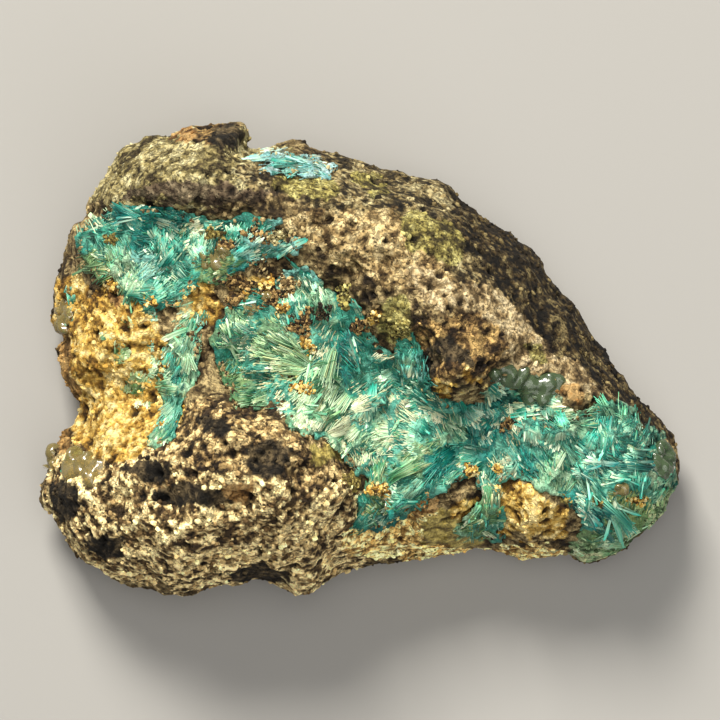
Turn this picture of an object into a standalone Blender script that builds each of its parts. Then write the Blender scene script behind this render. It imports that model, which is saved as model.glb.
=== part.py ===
"""A hand specimen of limonite gossan lying on its flat trimmed back, face up.

A band of fibrous blue-green aurichalcite fills the broken hollow that crosses the face, with
three smaller crusts of it beside the band, and clear hemimorphite has grown in four places.
The rock is one solid. Each crust and each cluster is a solid of its own, set into the rock.

Metres, +Z up. The origin is under the middle of the specimen, on the surface it lies on.
"""

import math
import random

import bmesh
import bpy
import numpy as np
from mathutils import Vector, bvhtree, geometry, noise

MM = 0.001

# Driving sizes, in millimetres
LENGTH = 100.0  # longest way across the face, along X
GRID = 2.3  # spacing of the facets on the face
UNDER_GRID = 4.2  # spacing of the facets underneath
GRID_STRAY = 0.24  # how far a point strays from the even grid, as a share of the spacing
RIM_STEP = 2.4  # longest edge along the outline
RIM_CLEAR = 1.0  # no inner point lies nearer the outline than this
RIM_EDGE = 0.9  # height of the broken edge between the face and the flank
RIM_SHARE = 0.46  # height of the outline as a share of the face beside it
RIM_LOWEST = 5.5  # the outline is nowhere lower than this
RIM_BLUNT = 0.6  # the face starts its rounding this far outside the outline
TOP_ROUND = 7.0  # how far in from the outline the face rounds over
UNDER_ROUND = 11.0  # how far in from the outline the flank tucks under to the flat back
CRUST_GAP = 0.3  # room between a crust and the rock under it
CRUST_SIZES = (0.5, 2.1)  # thickness of a crust at its edge and well inside it
CLUSTER_SIZES = (1.5, 2.6)  # the same for a cluster of crystals
CRUST_SLOPE = 3.0  # distance from the edge over which a crust thickens
BORDER_STEP = 2.1  # longest edge along the border of a crust
BORDER_CLEAR = 1.1  # no other point lies nearer a border than this

# Roughness: the height and the size across of each kind of bump in mm, and where its pattern starts
LUMPS = (1.5, 6.5, 3)
RIDGES = (1.1, 4.2, 9)
CRUMBS = (0.8, 1.7, 31)
RIM_WAVE = (1.6, 9.0, 17)
FLANK_WAVE = (0.5, 5.0, 47)  # its height is a share of the flank's own
RIDGE_LEVEL = 0.6  # share of the ridges that lies under the surface, so that they add no height
CRUST_ROUGH = 0.6  # share of the roughness that is left under a crust
ROCK_ROUGH = 1.25  # the same where the rock is bare
FLANK_ROUGH = 1.2  # roughness added on the steep ground by the rim
EASE = 0.5  # how loosely the surface passes by the spot heights
PIT_FLOOR = 1.25  # over 1, a pit has a flat floor
GRID_SEED = 3
UNDER_SEED = 5

# The outline of the face, seen from above: x, y in mm, clockwise from the spike on the left side
OUTLINE = [
    (-48.4, 2.2), (-46.0, 3.3), (-46.8, 4.3), (-48.0, 5.3), (-48.2, 6.9), (-47.6, 8.6),
    (-48.1, 10.2), (-47.0, 13.6), (-46.1, 15.6), (-45.8, 19.2), (-44.7, 21.4), (-42.5, 22.5),
    (-42.6, 24.6), (-41.3, 26.4), (-39.7, 29.3), (-37.8, 31.2), (-37.0, 33.0), (-34.2, 34.1),
    (-33.6, 35.2), (-32.0, 35.7), (-29.4, 35.1), (-27.4, 36.1), (-25.0, 36.3), (-22.4, 36.7),
    (-18.5, 37.0), (-16.8, 35.0), (-18.0, 33.0), (-15.3, 33.0), (-13.2, 33.1), (-12.6, 33.9),
    (-10.0, 34.2), (-8.0, 33.4), (-5.8, 32.3), (-2.5, 31.8), (0.7, 30.5), (3.4, 29.5),
    (6.4, 29.3), (8.1, 28.1), (10.4, 28.6), (12.6, 28.3), (14.6, 27.0), (15.2, 25.4),
    (18.6, 22.8), (22.4, 20.3), (26.0, 18.2), (28.4, 15.9), (29.4, 13.4), (31.4, 10.8),
    (33.8, 7.8), (36.2, 4.5), (38.7, 0.6), (41.2, -3.4), (44.6, -7.1), (47.2, -9.6),
    (49.1, -11.6), (49.8, -15.8), (49.9, -18.2), (49.4, -20.3), (48.1, -21.3), (47.8, -23.6),
    (46.3, -25.5), (44.0, -27.3), (42.6, -28.2), (42.0, -29.8), (40.2, -30.0), (38.6, -31.3),
    (36.0, -31.9), (34.0, -31.7), (32.4, -29.9), (30.0, -30.8), (27.0, -31.0), (25.0, -31.3),
    (22.6, -30.0), (18.5, -29.2), (16.0, -30.6), (12.6, -30.6), (9.0, -31.1), (4.0, -32.1),
    (0.0, -32.3), (-3.0, -33.2), (-6.0, -35.3), (-7.6, -36.7), (-9.6, -36.9), (-12.4, -35.7),
    (-14.8, -34.3), (-17.1, -34.2), (-19.0, -35.5), (-21.2, -35.1), (-23.4, -36.0), (-26.4, -36.7),
    (-31.0, -36.5), (-35.0, -35.2), (-38.8, -34.4), (-40.3, -33.0), (-41.2, -32.1), (-43.4, -31.3),
    (-45.4, -29.0), (-47.2, -26.0), (-47.9, -24.2), (-50.2, -22.9), (-49.6, -21.0), (-49.8, -19.6),
    (-48.4, -17.8), (-49.1, -16.4), (-48.2, -14.0), (-46.4, -12.0), (-46.2, -11.0), (-44.1, -9.8),
    (-43.7, -6.8), (-45.3, -5.0), (-46.8, -1.0),
]

# Spot heights of the face, as a survey would give them: x, y, z in mm
HEIGHTS = {
    "tan shoulder at the upper left": [
        (-37, 29, 22), (-32.5, 33, 23), (-25, 33, 27), (-32, 28.5, 28.5), (-25, 28.5, 31),
        (-39.5, 25, 24), (-33, 25.6, 30.5), (-27, 25.2, 32.5), (-20, 24.6, 33.5), (-15.5, 28, 31),
        (-9.5, 29, 28.5), (-3, 28.5, 26.5),
    ],
    "block knob on the upper edge": [(-21.5, 35, 29), (-18.5, 35.2, 29), (-20, 31.5, 29.5)],
    "upper rim under the small crust": [(-14.5, 31, 27), (-9, 31.6, 25.5), (-5, 30.4, 24.5)],
    "speckled rind on the upper right": [
        (-9, 24, 32.5), (-1.5, 24.5, 31.5), (3, 26.5, 27), (11, 26.5, 21), (6, 20, 33),
        (-1.5, 20, 34.5), (3, 15.5, 35), (14, 20, 28.5), (20, 17, 25.5), (15.5, 12.5, 34),
        (21.5, 11, 30), (26.5, 12.5, 22.5), (28, 6.5, 26.5), (21.5, 4.7, 33), (32.5, 3, 23),
        (31, -1.5, 28), (37, -1.5, 21.5), (40, -6, 24), (44.5, -9.5, 20.5), (47.2, -12.6, 18),
    ],
    "brow over the hollow": [
        (12.4, 9.2, 35), (10.5, 6, 35.5), (16.5, 5, 36), (13.5, 1.5, 36.5), (12.4, -2.8, 35),
        (17.2, -1.6, 35), (21.8, 0.4, 33), (27.5, -2.2, 31), (35.5, -5, 28.5), (7, 4.5, 30.5),
    ],
    "upper left of the hollow": [
        (-42.5, 19.4, 20), (-35.5, 20.2, 24), (-28, 18.6, 25.5), (-21.7, 17.8, 27.5),
        (-38.7, 14, 22), (-32.5, 12.4, 24), (-26.4, 10.9, 25.5), (-30, 22.6, 25),
        (-22, 21.6, 27.5), (-36.5, 22.8, 24),
    ],
    "broken ground between the crusts": [
        (-15.5, 18.6, 30), (-9.3, 18.6, 31.5), (-17, 12.4, 27.5), (-10.9, 12.4, 27.5),
        (-6.2, 14, 31.5), (-22.5, 7, 26.5), (-24.8, 10, 27.5), (2.8, 8.5, 31.5), (-2.5, 11.5, 29.5),
    ],
    "ochre slope on the left": [
        (-44.4, 12.4, 17), (-45.4, 6.2, 16), (-40.3, 6.2, 20.5), (-34, 4.7, 23.5),
        (-45.5, 0, 16.5), (-40.3, -1.6, 19.5), (-33.5, -1.6, 22), (-40.3, -8.5, 17),
        (-34.5, -8.5, 20.5), (-28, 0.5, 23), (-29.5, -7, 22.5), (-24, 2.5, 25.5),
    ],
    "great lump at the lower left": [
        (-45, -17, 20), (-46.5, -21.7, 18.5), (-38.7, -14, 23), (-42, -25, 21.5),
        (-36, -20.5, 28), (-31, -14, 29.5), (-25.5, -11, 34), (-22.5, -7.5, 34),
        (-17, -10.4, 36.5), (-11.6, -9.6, 35.5), (-6.4, -14, 33.5), (-17, -17, 37),
        (-9.3, -20, 35.5), (-25, -20, 34), (-30, -26, 29), (-38, -30, 20.5),
        (-21.7, -28.5, 30), (-12.4, -28.5, 29.5), (-3.1, -22.5, 30.5), (-4.7, -29, 23.5),
        (-9.3, -33.6, 22), (-26, -33.4, 22), (-17, -31.6, 23),
    ],
    "floor of the hollow": [
        (-17, 3.1, 25.5), (-10.9, 4.7, 26), (-18.6, -3, 24), (-12.4, -2.6, 24.5), (-4.7, 8.5, 27),
        (-4.7, 1.6, 25), (0, 5, 26.5), (-4.2, -6.2, 25), (1.6, -1.6, 24), (6.5, -2.4, 23.5),
        (3.1, -9.3, 24), (10.9, -8.2, 23.5), (17, -7.2, 22.5), (18.6, -12.4, 22.5),
        (12.4, -14, 23.5), (6.2, -15.5, 24), (0, -15.5, 25),
    ],
    "ochre ground below the band": [
        (1.6, -21, 24), (6.2, -21.7, 23.5), (3.1, -27.5, 18.5), (10.9, -26.4, 18), (12.4, -20, 24.5),
        (15.5, -23.3, 21), (21.7, -20.5, 22), (26.4, -22.6, 26.5), (30, -24.4, 24.5),
        (26.4, -28, 17.5), (19, -27.2, 16.5),
    ],
    "lobe at the right end": [
        (24.8, -5.4, 28.5), (28.5, -7.6, 28.5), (34.1, -8.4, 27.5), (24.8, -10.9, 25),
        (31, -12.4, 26), (26.4, -15.5, 24), (37.2, -11.4, 26), (42, -11.6, 23.5),
        (37.2, -16, 25.5), (43.4, -16, 23), (47.2, -16.2, 19.5), (37.2, -21.7, 24),
        (33, -19.4, 22.5), (43.4, -21.7, 20.5), (35.7, -26.4, 19.5), (40.5, -26, 17.5),
        (37, -29.4, 15.5),
    ],
}

# Open pits in the rock: x, y, radius and depth in mm
PITS = [
    (-2.3, 19.8, 2.0, 1.6), (0.4, 17.4, 2.2, 1.9), (5.4, 20.9, 1.9, 1.5), (7.8, 17.8, 2.3, 2.0),
    (3.9, 15.2, 2.0, 1.8), (10.5, 14.2, 2.4, 2.1), (-6.5, 21.4, 1.9, 1.5), (-1.2, 13.2, 2.0, 1.9),
    (13.2, 3.9, 2.6, 2.6), (15.8, 1.6, 2.5, 2.6), (18.6, 2.3, 2.2, 2.0), (12.4, -0.3, 2.2, 2.2),
    (-24.6, 7.8, 2.2, 2.8), (-38.7, -2.3, 2.2, 1.8), (-35.6, -6.2, 2.2, 1.8),
    (-33.3, 1.6, 2.1, 1.8), (-37.2, 6.2, 2.1, 1.6), (-41.8, 2.2, 2.0, 1.5),
    (-24.0, -10.9, 2.4, 2.1), (-14.7, -14.7, 2.4, 2.0), (-28.7, -21.0, 2.8, 2.4),
    (-19.4, -22.5, 2.4, 2.0), (-9.3, -17.1, 2.2, 1.9), (-4.7, -24.8, 2.4, 1.9),
    (-32.6, -27.9, 2.4, 2.0), (-37.2, -21.7, 2.4, 1.9), (-13.6, -25.8, 2.2, 1.8),
    (31.0, 10.9, 2.0, 1.3), (28.0, 8.6, 2.0, 1.4), (35.6, 2.0, 2.2, 1.4), (24.8, 14.0, 2.0, 1.3),
    (-30.2, 31.0, 2.2, 1.6), (-23.3, 26.6, 2.2, 1.7), (-12.0, 26.0, 2.2, 1.6),
    (7.0, -24.4, 2.0, 1.4), (24.0, -24.0, 2.0, 1.6), (28.6, -22.2, 1.9, 1.5),
]

# Where each crust and each cluster covers the face: its border, x, y in mm
CRUSTS = {
    "aurichalcite_band": [
        (-23, 4.5), (-20, 9.5), (-15, 11.8), (-10.5, 14.5), (-7, 14), (-3.5, 9.5), (0.2, 8.6),
        (2.4, 3.4), (5, 1), (8.2, 5), (9.8, 1), (12, -5.6), (17.6, -6.8), (21.4, -6.6),
        (23.6, -8.8), (29.2, -9.2), (35, -7.2), (38.4, -5.6), (41.2, -8.4), (43, -11.6),
        (43, -17.8), (46.4, -20.4), (45, -25), (40.5, -28.2), (36, -30), (33.4, -27.6),
        (34, -25), (31, -21.6), (26, -18.6), (21.6, -18.8), (22.4, -24.6), (23, -28.4),
        (18, -28), (13.6, -27.4), (18.6, -21), (17.6, -17.4), (13, -20.4), (9, -23.4),
        (4.5, -26), (0.2, -27), (-0.6, -22), (1.6, -18.6), (-2, -16.4), (-4.4, -12.4),
        (-10.8, -11), (-12, -7.8), (-16.6, -7.4), (-19.4, -8.4), (-20.6, -4.6), (-22.6, -0.6),
    ],
    "aurichalcite_upper_patch": [
        (-44.2, 19.6), (-41.6, 22), (-36.5, 24), (-29.5, 23.6), (-22.4, 21.8), (-16.4, 22.2),
        (-11.6, 21.8), (-13.4, 18), (-9, 18.8), (-9.8, 16.2), (-15.6, 14.6), (-19.4, 13),
        (-20.8, 11), (-24.8, 12.2), (-27.4, 7.8), (-32.4, 8), (-36, 10.2), (-41.6, 13.2),
        (-43.8, 17),
    ],
    "aurichalcite_left_plume": [
        (-26.4, 5), (-24.2, 3.4), (-24.8, -2.6), (-27, -6.4), (-28.4, -12.4), (-32, -14),
        (-33.4, -12.8), (-30.4, -8), (-31.6, -2.4), (-29.4, 1),
    ],
    "aurichalcite_top_edge": [
        (-17.2, 29.8), (-15.6, 31.6), (-12.4, 31.8), (-9.6, 32.7), (-6.8, 31.3), (-3.6, 30.2),
        (-4.6, 27.4), (-9.8, 28.2), (-14.2, 27.6),
    ],
}
CLUSTERS = {
    "hemimorphite_left_edge": [
        (-46.8, -15), (-44.8, -12.6), (-42.4, -11.6), (-39.6, -13.4), (-38.9, -16.8),
        (-41.8, -18.6), (-45, -19.1), (-47, -18.4),
    ],
    "hemimorphite_left_nodule": [
        (-46.4, 9.6), (-44.4, 10), (-42.6, 7.4), (-43.6, 4.6), (-45.4, 4.9), (-46.6, 6.8),
    ],
    "hemimorphite_brow": [
        (20.6, -2), (24, 0.2), (28.4, -0.6), (30.6, -3.6), (29.3, -6.4), (26, -6.6),
        (22.4, -4.4),
    ],
    "hemimorphite_right_tip": [
        (44.9, -12.4), (47.4, -13.6), (48.2, -17), (46.4, -17.8), (44.6, -16.4),
    ],
}

# Sprays of laths, each fanning from one root: root x, y in mm, heading and spread in degrees,
# length in mm, number of laths. Heading 0 is along +X and 90 along +Y.
SPRAYS = {
    "aurichalcite_band": [
        (-7, -1, 160, 28, 12, 8), (-6, -2.4, 196, 20, 10.5, 4), (-13.5, -4.6, 196, 24, 7, 2),
        (-4.6, 2.4, 240, 12, 14, 5), (-4.2, 7, 116, 14, 8, 3), (-2.2, 4.4, 292, 8, 8, 2),
        (-2, -9, 33, 9, 10.5, 4), (5.6, -6.4, 318, 12, 6.5, 3), (10, -8.4, 312, 12, 6.5, 3),
        (15, -9.6, 300, 16, 6.5, 3), (14.6, -12.6, 222, 10, 10, 4), (9, -19, 222, 10, 9, 3),
        (1.6, -12.6, 262, 12, 6.5, 2), (26.6, -11, 0, 8, 7.5, 3), (24.6, -11.6, 292, 26, 6.5, 3),
        (41.8, -17.2, 156, 20, 9.5, 5), (40.4, -23.6, 126, 10, 14, 4), (39.6, -24.4, 160, 14, 9.5, 3),
        (35.4, -9.4, 322, 14, 7, 3), (19.6, -20.4, 278, 12, 7, 3), (30, -13.6, 268, 10, 6.5, 2),
        (-15.6, 8.4, 350, 16, 7, 3), (9.4, -1.4, 262, 10, 6, 2), (38, -26.6, 100, 30, 6, 3),
    ],
    "aurichalcite_upper_patch": [
        (-35, 13.2, 34, 14, 10, 5), (-35.4, 11.6, 342, 14, 8, 3), (-37, 20.4, 335, 14, 8.5, 4),
        (-27, 18.6, 18, 12, 6.5, 3), (-22, 14.8, 40, 12, 9, 4), (-40, 18.4, 300, 20, 6.5, 3),
        (-32.4, 17, 200, 14, 6, 2),
    ],
    "aurichalcite_left_plume": [(-26.2, 2.2, 250, 9, 9.5, 4), (-28.4, -6.2, 244, 7, 9, 4)],
    "aurichalcite_top_edge": [(-14.6, 30.4, 8, 8, 9, 4)],
}
# Laths: flat crystals with a wedge end. Sizes in mm, angles in degrees, pairs are the least and the
# most; a share is one of the spray's own length or of LATH_WIDTH.
LATH_WIDTH = 1.2
LATH_THICK = 0.55
LATH_WIDTHS = (0.8, 1.35)
LATH_STARTS = (0.02, 0.3)
LATH_REACHES = (0.5, 0.8)
LATH_TURN = 3
LATH_TILT = 0.4
LATH_SINK = 0.8  # depth of a lath's foot in its crust
LATH_CLEAR = 1.2  # height of the tip over the crust
LATH_RISE = 0.16  # least rise of a lath over its length
LATH_EDGE = 0.6  # room between a lath and its crust's border, as a share of its width
LATH_SPARE = 0.05  # room kept beside the gap over the rock
LATH_LIFTS = (0, 0.15, 0.3, 0.45)  # ways to raise a foot that comes too near the rock
LATH_BOOSTS = (0, 1, 2.2)  # ways to raise a tip for the same reason
LATH_CUTS = (1, 0.8, 0.6)  # ways to shorten it
LATH_TESTS = 7  # places along it where it is tested
SHOULDER = (0.82, 0.86, 0.8)  # where the wedge starts along a lath, its width and thickness there
WEDGE = 0.3  # half the width of the wedge's edge, as a share of the lath's width
LATH_SEED = 11

CRYSTAL_WIDTH = 1.5
CRYSTAL_THICK = 0.8
CRYSTAL_LENGTH = 2.6
CRYSTAL_WIDTHS = (0.7, 1.2)
CRYSTAL_LENGTHS = (0.8, 1.25)
CRYSTAL_LEAN = 0.45
CRYSTAL_UP = 0.3  # how strongly a crystal turns upwards
CRYSTAL_SINKS = (0.75, 0.6, 0.45, 0.3)  # depths of a crystal's foot, tried in turn
CRYSTAL_SPACING = 1.75
CRYSTAL_EDGE = 1.0
CRYSTAL_SEED = 23

COLOURS = {
    "limonite_matrix": (0.32, 0.24, 0.14, 0.9),
    "aurichalcite": (0.12, 0.50, 0.44, 0.55),
    "hemimorphite": (0.55, 0.62, 0.52, 0.15),
}


def clear_scene():
    for obj in list(bpy.data.objects):
        bpy.data.objects.remove(obj)


def material(name):
    red, green, blue, rough = COLOURS[name]
    made = bpy.data.materials.new(name)
    made.use_nodes = True
    shader = made.node_tree.nodes["Principled BSDF"]
    shader.inputs["Base Color"].default_value = (red, green, blue, 1)
    shader.inputs["Roughness"].default_value = rough
    shader.inputs["Metallic"].default_value = 0
    return made


def new_object(name, points, faces, finish):
    """An object from points in mm and faces, with its place in its mesh."""
    mesh = bpy.data.meshes.new(name)
    mesh.from_pydata([Vector(p) * MM for p in points], [], faces)
    mesh.materials.append(finish)
    obj = bpy.data.objects.new(name, mesh)
    bpy.context.scene.collection.objects.link(obj)
    return obj


def placed(points):
    """Points of the survey moved and scaled so that the outline is centred and LENGTH long."""
    outline = np.array(OUTLINE, float)
    low, high = outline.min(0), outline.max(0)
    return (np.array(points, float) - (low + high) / 2) * LENGTH / (high[0] - low[0])


def walked(corners, step):
    """The closed outline with points added so that no edge is longer than step."""
    made = []
    for start, end in zip(corners, np.roll(corners, -1, axis=0)):
        parts = max(1, math.ceil(np.linalg.norm(end - start) / step))
        made += [start + (end - start) * i / parts for i in range(parts)]
    return np.array(made)


def distance_to(points, corners):
    """Distance of each point from a closed outline."""
    start, end = corners, np.roll(corners, -1, axis=0)
    along = end - start
    share = ((points[:, None] - start) * along).sum(2) / (along**2).sum(1)
    nearest = start + np.clip(share, 0, 1)[..., None] * along
    return np.linalg.norm(points[:, None] - nearest, axis=2).min(1)


def inside(points, corners):
    """True for each point inside a closed outline, by counting the edges that a ray crosses."""
    x, y = points[:, 0, None], points[:, 1, None]
    x0, y0 = corners.T
    x1, y1 = np.roll(corners, -1, axis=0).T
    rise = np.where(y1 == y0, 1e-9, y1 - y0)
    crosses = ((y0 > y) != (y1 > y)) & (x < (x1 - x0) * (y - y0) / rise + x0)
    return crosses.sum(1) % 2 == 1


def waves(points, pattern):
    """Smooth bumps about 0, from -1 to 1, of a pattern's size."""
    size, start = pattern[1:]
    return np.array([noise.noise(Vector((x, y, start)) / size) for x, y in points])


class Face:
    """The relief of the face: a smooth surface through the spot heights, roughened."""

    def __init__(self):
        spots = np.array([spot for group in HEIGHTS.values() for spot in group], float)
        self.places = placed(spots[:, :2])
        count = len(spots)
        system = np.zeros((count + 3, count + 3))
        system[:count, :count] = self.bend(self.places, self.places) + np.eye(count) * EASE
        system[:count, count] = system[count, :count] = 1
        system[:count, count + 1:] = self.places
        system[count + 1:, :count] = self.places.T
        self.weights = np.linalg.solve(system, np.append(spots[:, 2], [0, 0, 0]))

    @staticmethod
    def bend(points, places):
        """The thin-plate kernel between points and places."""
        away = np.linalg.norm(points[:, None] - places, axis=2)
        return away**2 * np.log(np.maximum(away, 1e-9))

    def smooth(self, points):
        flat = self.weights[-3] + points @ self.weights[-2:]
        return self.bend(points, self.places) @ self.weights[:-3] + flat

    def rough(self, points):
        """Lumps, sharp little ridges and crumbs, in mm."""
        ridges = 1 - np.abs(waves(points, RIDGES)) * 2 - RIDGE_LEVEL
        lumps, crumbs = waves(points, LUMPS), waves(points, CRUMBS)
        return LUMPS[0] * lumps + RIDGES[0] * ridges + CRUMBS[0] * crumbs

    def pitted(self, points):
        """How far the pits go down below each point."""
        depth = np.zeros(len(points))
        for x, y, radius, deep in PITS:
            away = np.linalg.norm(points - placed([x, y]), axis=1) / radius
            depth = np.maximum(depth, deep * np.clip(PIT_FLOOR - away**2, 0, 1))
        return depth

    def height(self, points, crusted):
        """Height of the face above the flat back, before its rim is rounded off."""
        rough = self.rough(points) * np.where(crusted, CRUST_ROUGH, ROCK_ROUGH)
        return self.smooth(points) + rough - np.where(crusted, 0, self.pitted(points))

    def rim_height(self, points):
        wave = RIM_WAVE[0] * waves(points, RIM_WAVE)
        return np.maximum(RIM_SHARE * self.smooth(points) + wave, RIM_LOWEST)


def rounded(share):
    """Quarter of an ellipse: 0 with an upright start, to 1 with a level end."""
    return np.sqrt(1 - (1 - np.clip(share, 0, 1)) ** 2)


def scattered(corners, spacing, clear, seed):
    """Points on a jittered triangular lattice inside the outline."""
    draw = random.Random(seed)
    low, high = corners.min(0), corners.max(0)
    rows = math.ceil((high[1] - low[1]) / (spacing * math.sqrt(0.75)))
    columns = math.ceil((high[0] - low[0]) / spacing) + 1
    points = []
    for row in range(rows + 1):
        for column in range(columns):
            x = low[0] + (column + 0.5 * (row % 2)) * spacing
            y = low[1] + row * spacing * math.sqrt(0.75)
            shift = draw.uniform(0, GRID_STRAY) * spacing
            turn = draw.uniform(0, math.tau)
            points.append((x + shift * math.cos(turn), y + shift * math.sin(turn)))
    points = np.array(points)
    return points[inside(points, corners) & (distance_to(points, corners) > clear)]


def triangulated(rim, inner, loops=()):
    """Triangles that fill the rim, use every inner point and run along each loop of those."""
    ring = list(range(len(rim)))
    flat = np.vstack([rim, inner])
    edges = [(loop[i - 1], loop[i]) for loop in loops for i in range(len(loop))]
    found = geometry.delaunay_2d_cdt([Vector(p) for p in flat], edges, [ring], 1, 1e-5)
    faces, sources = found[2], found[3]
    order = [source[0] for source in sources]
    corners = np.array([order[i] for face in faces for i in face]).reshape(-1, 3)
    a, b, c = flat[corners[:, 0]], flat[corners[:, 1]], flat[corners[:, 2]]
    turned = (b - a)[:, 0] * (c - a)[:, 1] - (b - a)[:, 1] * (c - a)[:, 0] < 0
    corners[turned] = corners[turned][:, ::-1]
    return flat, corners


def border_edges(faces):
    """The edges that only one face uses, in the direction that the face runs."""
    edges = {}
    for a, b, c in faces:
        for edge in ((a, b), (b, c), (c, a)):
            edges[edge] = True
    return [edge for edge in edges if edge[::-1] not in edges]


def slab(flat, heights, faces, thick):
    """Points and faces of a closed slab over part of the grid: its foot follows heights."""
    used = sorted({i for face in faces for i in face})
    low = {point: n for n, point in enumerate(used)}
    high = {point: n + len(used) for n, point in enumerate(used)}
    points = [(*flat[i], heights[i]) for i in used]
    points += [(*flat[i], heights[i] + thick[i]) for i in used]
    made = [(low[c], low[b], low[a]) for a, b, c in faces]
    made += [(high[a], high[b], high[c]) for a, b, c in faces]
    for a, b in border_edges(faces):
        made += [(low[a], low[b], high[b]), (low[a], high[b], high[a])]
    return points, made


class Ground:
    """Looks up a faceted surface by a ray from above, in mm."""

    def __init__(self, flat, level, faces):
        points = [Vector((*place, z)) for place, z in zip(flat, level)]
        self.tree = bvhtree.BVHTree.FromPolygons(points, [tuple(map(int, f)) for f in faces])

    def hit(self, place):
        return self.tree.ray_cast(Vector((*place, 2 * LENGTH)), Vector((0, 0, -1)))

    def at(self, place):
        point = self.hit(place)[0]
        return point.z if point else -1


class Relief:
    """The face as a grid of triangles, with each crust and cluster laid into the rock."""

    def __init__(self, corners):
        self.face = Face()
        self.rim = walked(corners, RIM_STEP)
        self.lay_grid(corners)
        self.raise_face(corners)
        self.rock = self.level.copy()
        self.patches, self.thickness = {}, {}
        for name, border in self.borders.items():
            self.set_in(name, border)
        self.top = Ground(self.flat, self.level, self.faces)
        self.under = Ground(self.flat, self.rock, self.faces)

    def lay_grid(self, corners):
        """Points over the face, with a row of them along each border."""
        inner = scattered(corners, GRID, RIM_CLEAR, GRID_SEED)
        self.borders, loops, first = {}, [], len(self.rim)
        for name, border in {**CRUSTS, **CLUSTERS}.items():
            row = walked(placed(border), BORDER_STEP)
            row = row[inside(row, corners) & (distance_to(row, corners) > BORDER_CLEAR)]
            self.borders[name] = row
            inner = inner[distance_to(inner, row) > BORDER_CLEAR]
            loops.append(list(range(first, first + len(row))))
            first += len(row)
        self.inner = np.vstack([*self.borders.values(), inner])
        self.flat, self.faces = triangulated(self.rim, self.inner, loops)

    def raise_face(self, corners):
        """Heights of the grid: full height inside, rounded down to the rim."""
        away = distance_to(self.inner, corners)
        crusted = np.any([inside(self.inner, row) for row in self.borders.values()], axis=0)
        foot = self.face.rim_height(self.flat)
        full = self.face.height(self.inner, crusted)
        share = rounded((away + RIM_BLUNT) / (TOP_ROUND + RIM_BLUNT))
        flank = np.clip(1 - away / TOP_ROUND, 0, 1) * ~crusted
        low = foot[len(self.rim):]
        inner = low + (full - low) * share + self.face.rough(self.inner) * FLANK_ROUGH * flank
        self.level = np.append(foot[:len(self.rim)], inner)

    def set_in(self, name, border):
        """Sinks the rock under a crust, so that the crust's own face is level with the relief."""
        edge, deep = CRUST_SIZES if name in CRUSTS else CLUSTER_SIZES
        chosen = self.faces[inside(self.flat[self.faces].mean(1), border)]
        self.patches[name] = [tuple(face) for face in chosen]
        used = np.unique(chosen)
        thick = np.zeros(len(self.flat))
        into = np.minimum(distance_to(self.flat[used], border) / CRUST_SLOPE, 1)
        thick[used] = edge + (deep - edge) * into
        self.rock[used] = self.level[used] - thick[used] - CRUST_GAP
        self.thickness[name] = thick

    def crust(self, name, finish):
        """The solid of one crust or cluster, without its crystals."""
        foot = self.rock + CRUST_GAP
        points, made = slab(self.flat, foot, self.patches[name], self.thickness[name])
        return new_object(name, points, made, finish)


def matrix(relief, corners, finish):
    """The rock: the relief above, a broken edge round the rim, and a flank down to a flat back."""
    count = len(relief.rim)
    inner = scattered(corners, UNDER_GRID, RIM_CLEAR, UNDER_SEED)
    flat, faces = triangulated(relief.rim, inner)
    tucked = 1 - rounded(distance_to(inner, corners) / UNDER_ROUND)
    uneven = 1 + FLANK_WAVE[0] * waves(inner, FLANK_WAVE)
    under = np.append(relief.rock[:count] - RIM_EDGE,
                      np.maximum(relief.face.rim_height(inner) * tucked * uneven, 0))
    points = [(x, y, z) for (x, y), z in zip(relief.flat, relief.rock)]
    points += [(x, y, z) for (x, y), z in zip(flat, under)]
    first = len(relief.flat)
    made = [tuple(map(int, face)) for face in relief.faces]
    made += [tuple(map(int, face)) for face in (faces + first)[:, ::-1]]
    for a, b in border_edges(relief.faces):
        made += [(a, first + int(a), first + int(b)), (a, first + int(b), b)]
    new_object("limonite_matrix", points, [tuple(map(int, face)) for face in made], finish)


class Lath:
    """One flat crystal with a wedge end, from foot to tip, all in mm."""

    def __init__(self, foot, tip, width, thick, side):
        self.foot, self.tip, self.width, self.thick = foot, tip, width, thick
        self.across = (tip - foot).cross(side).normalized()
        self.up = self.across.cross(tip - foot).normalized()

    def ring(self, share, wide, deep):
        """Four corners round the lath at a share of its length."""
        middle = self.foot + (self.tip - self.foot) * share
        across = self.across * self.width / 2 * wide
        up = self.up * self.thick / 2 * deep
        return [middle - across - up, middle + across - up, middle + across + up,
                middle - across + up]

    def clears(self, rock):
        """True if no corner along the lath comes nearer the rock than the gap."""
        corners = [point for share in np.linspace(0, 1, LATH_TESTS)
                   for point in self.ring(share, 1, 1)]
        return all(point.z > rock.at(point.xy) + CRUST_GAP + LATH_SPARE for point in corners)

    def add_to(self, build):
        first = [build.verts.new(p * MM) for p in self.ring(0, 1, 1)]
        second = [build.verts.new(p * MM) for p in self.ring(*SHOULDER)]
        wedge = [build.verts.new((self.tip + self.across * self.width * i) * MM)
                 for i in (-WEDGE, WEDGE)]
        build.faces.new(first[::-1])
        for i in range(4):
            build.faces.new((first[i], first[(i + 1) % 4], second[(i + 1) % 4], second[i]))
        build.faces.new((second[0], second[1], wedge[1], wedge[0]))
        build.faces.new((second[2], second[3], wedge[0], wedge[1]))
        build.faces.new((second[1], second[2], wedge[1]))
        build.faces.new((second[3], second[0], wedge[0]))


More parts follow.
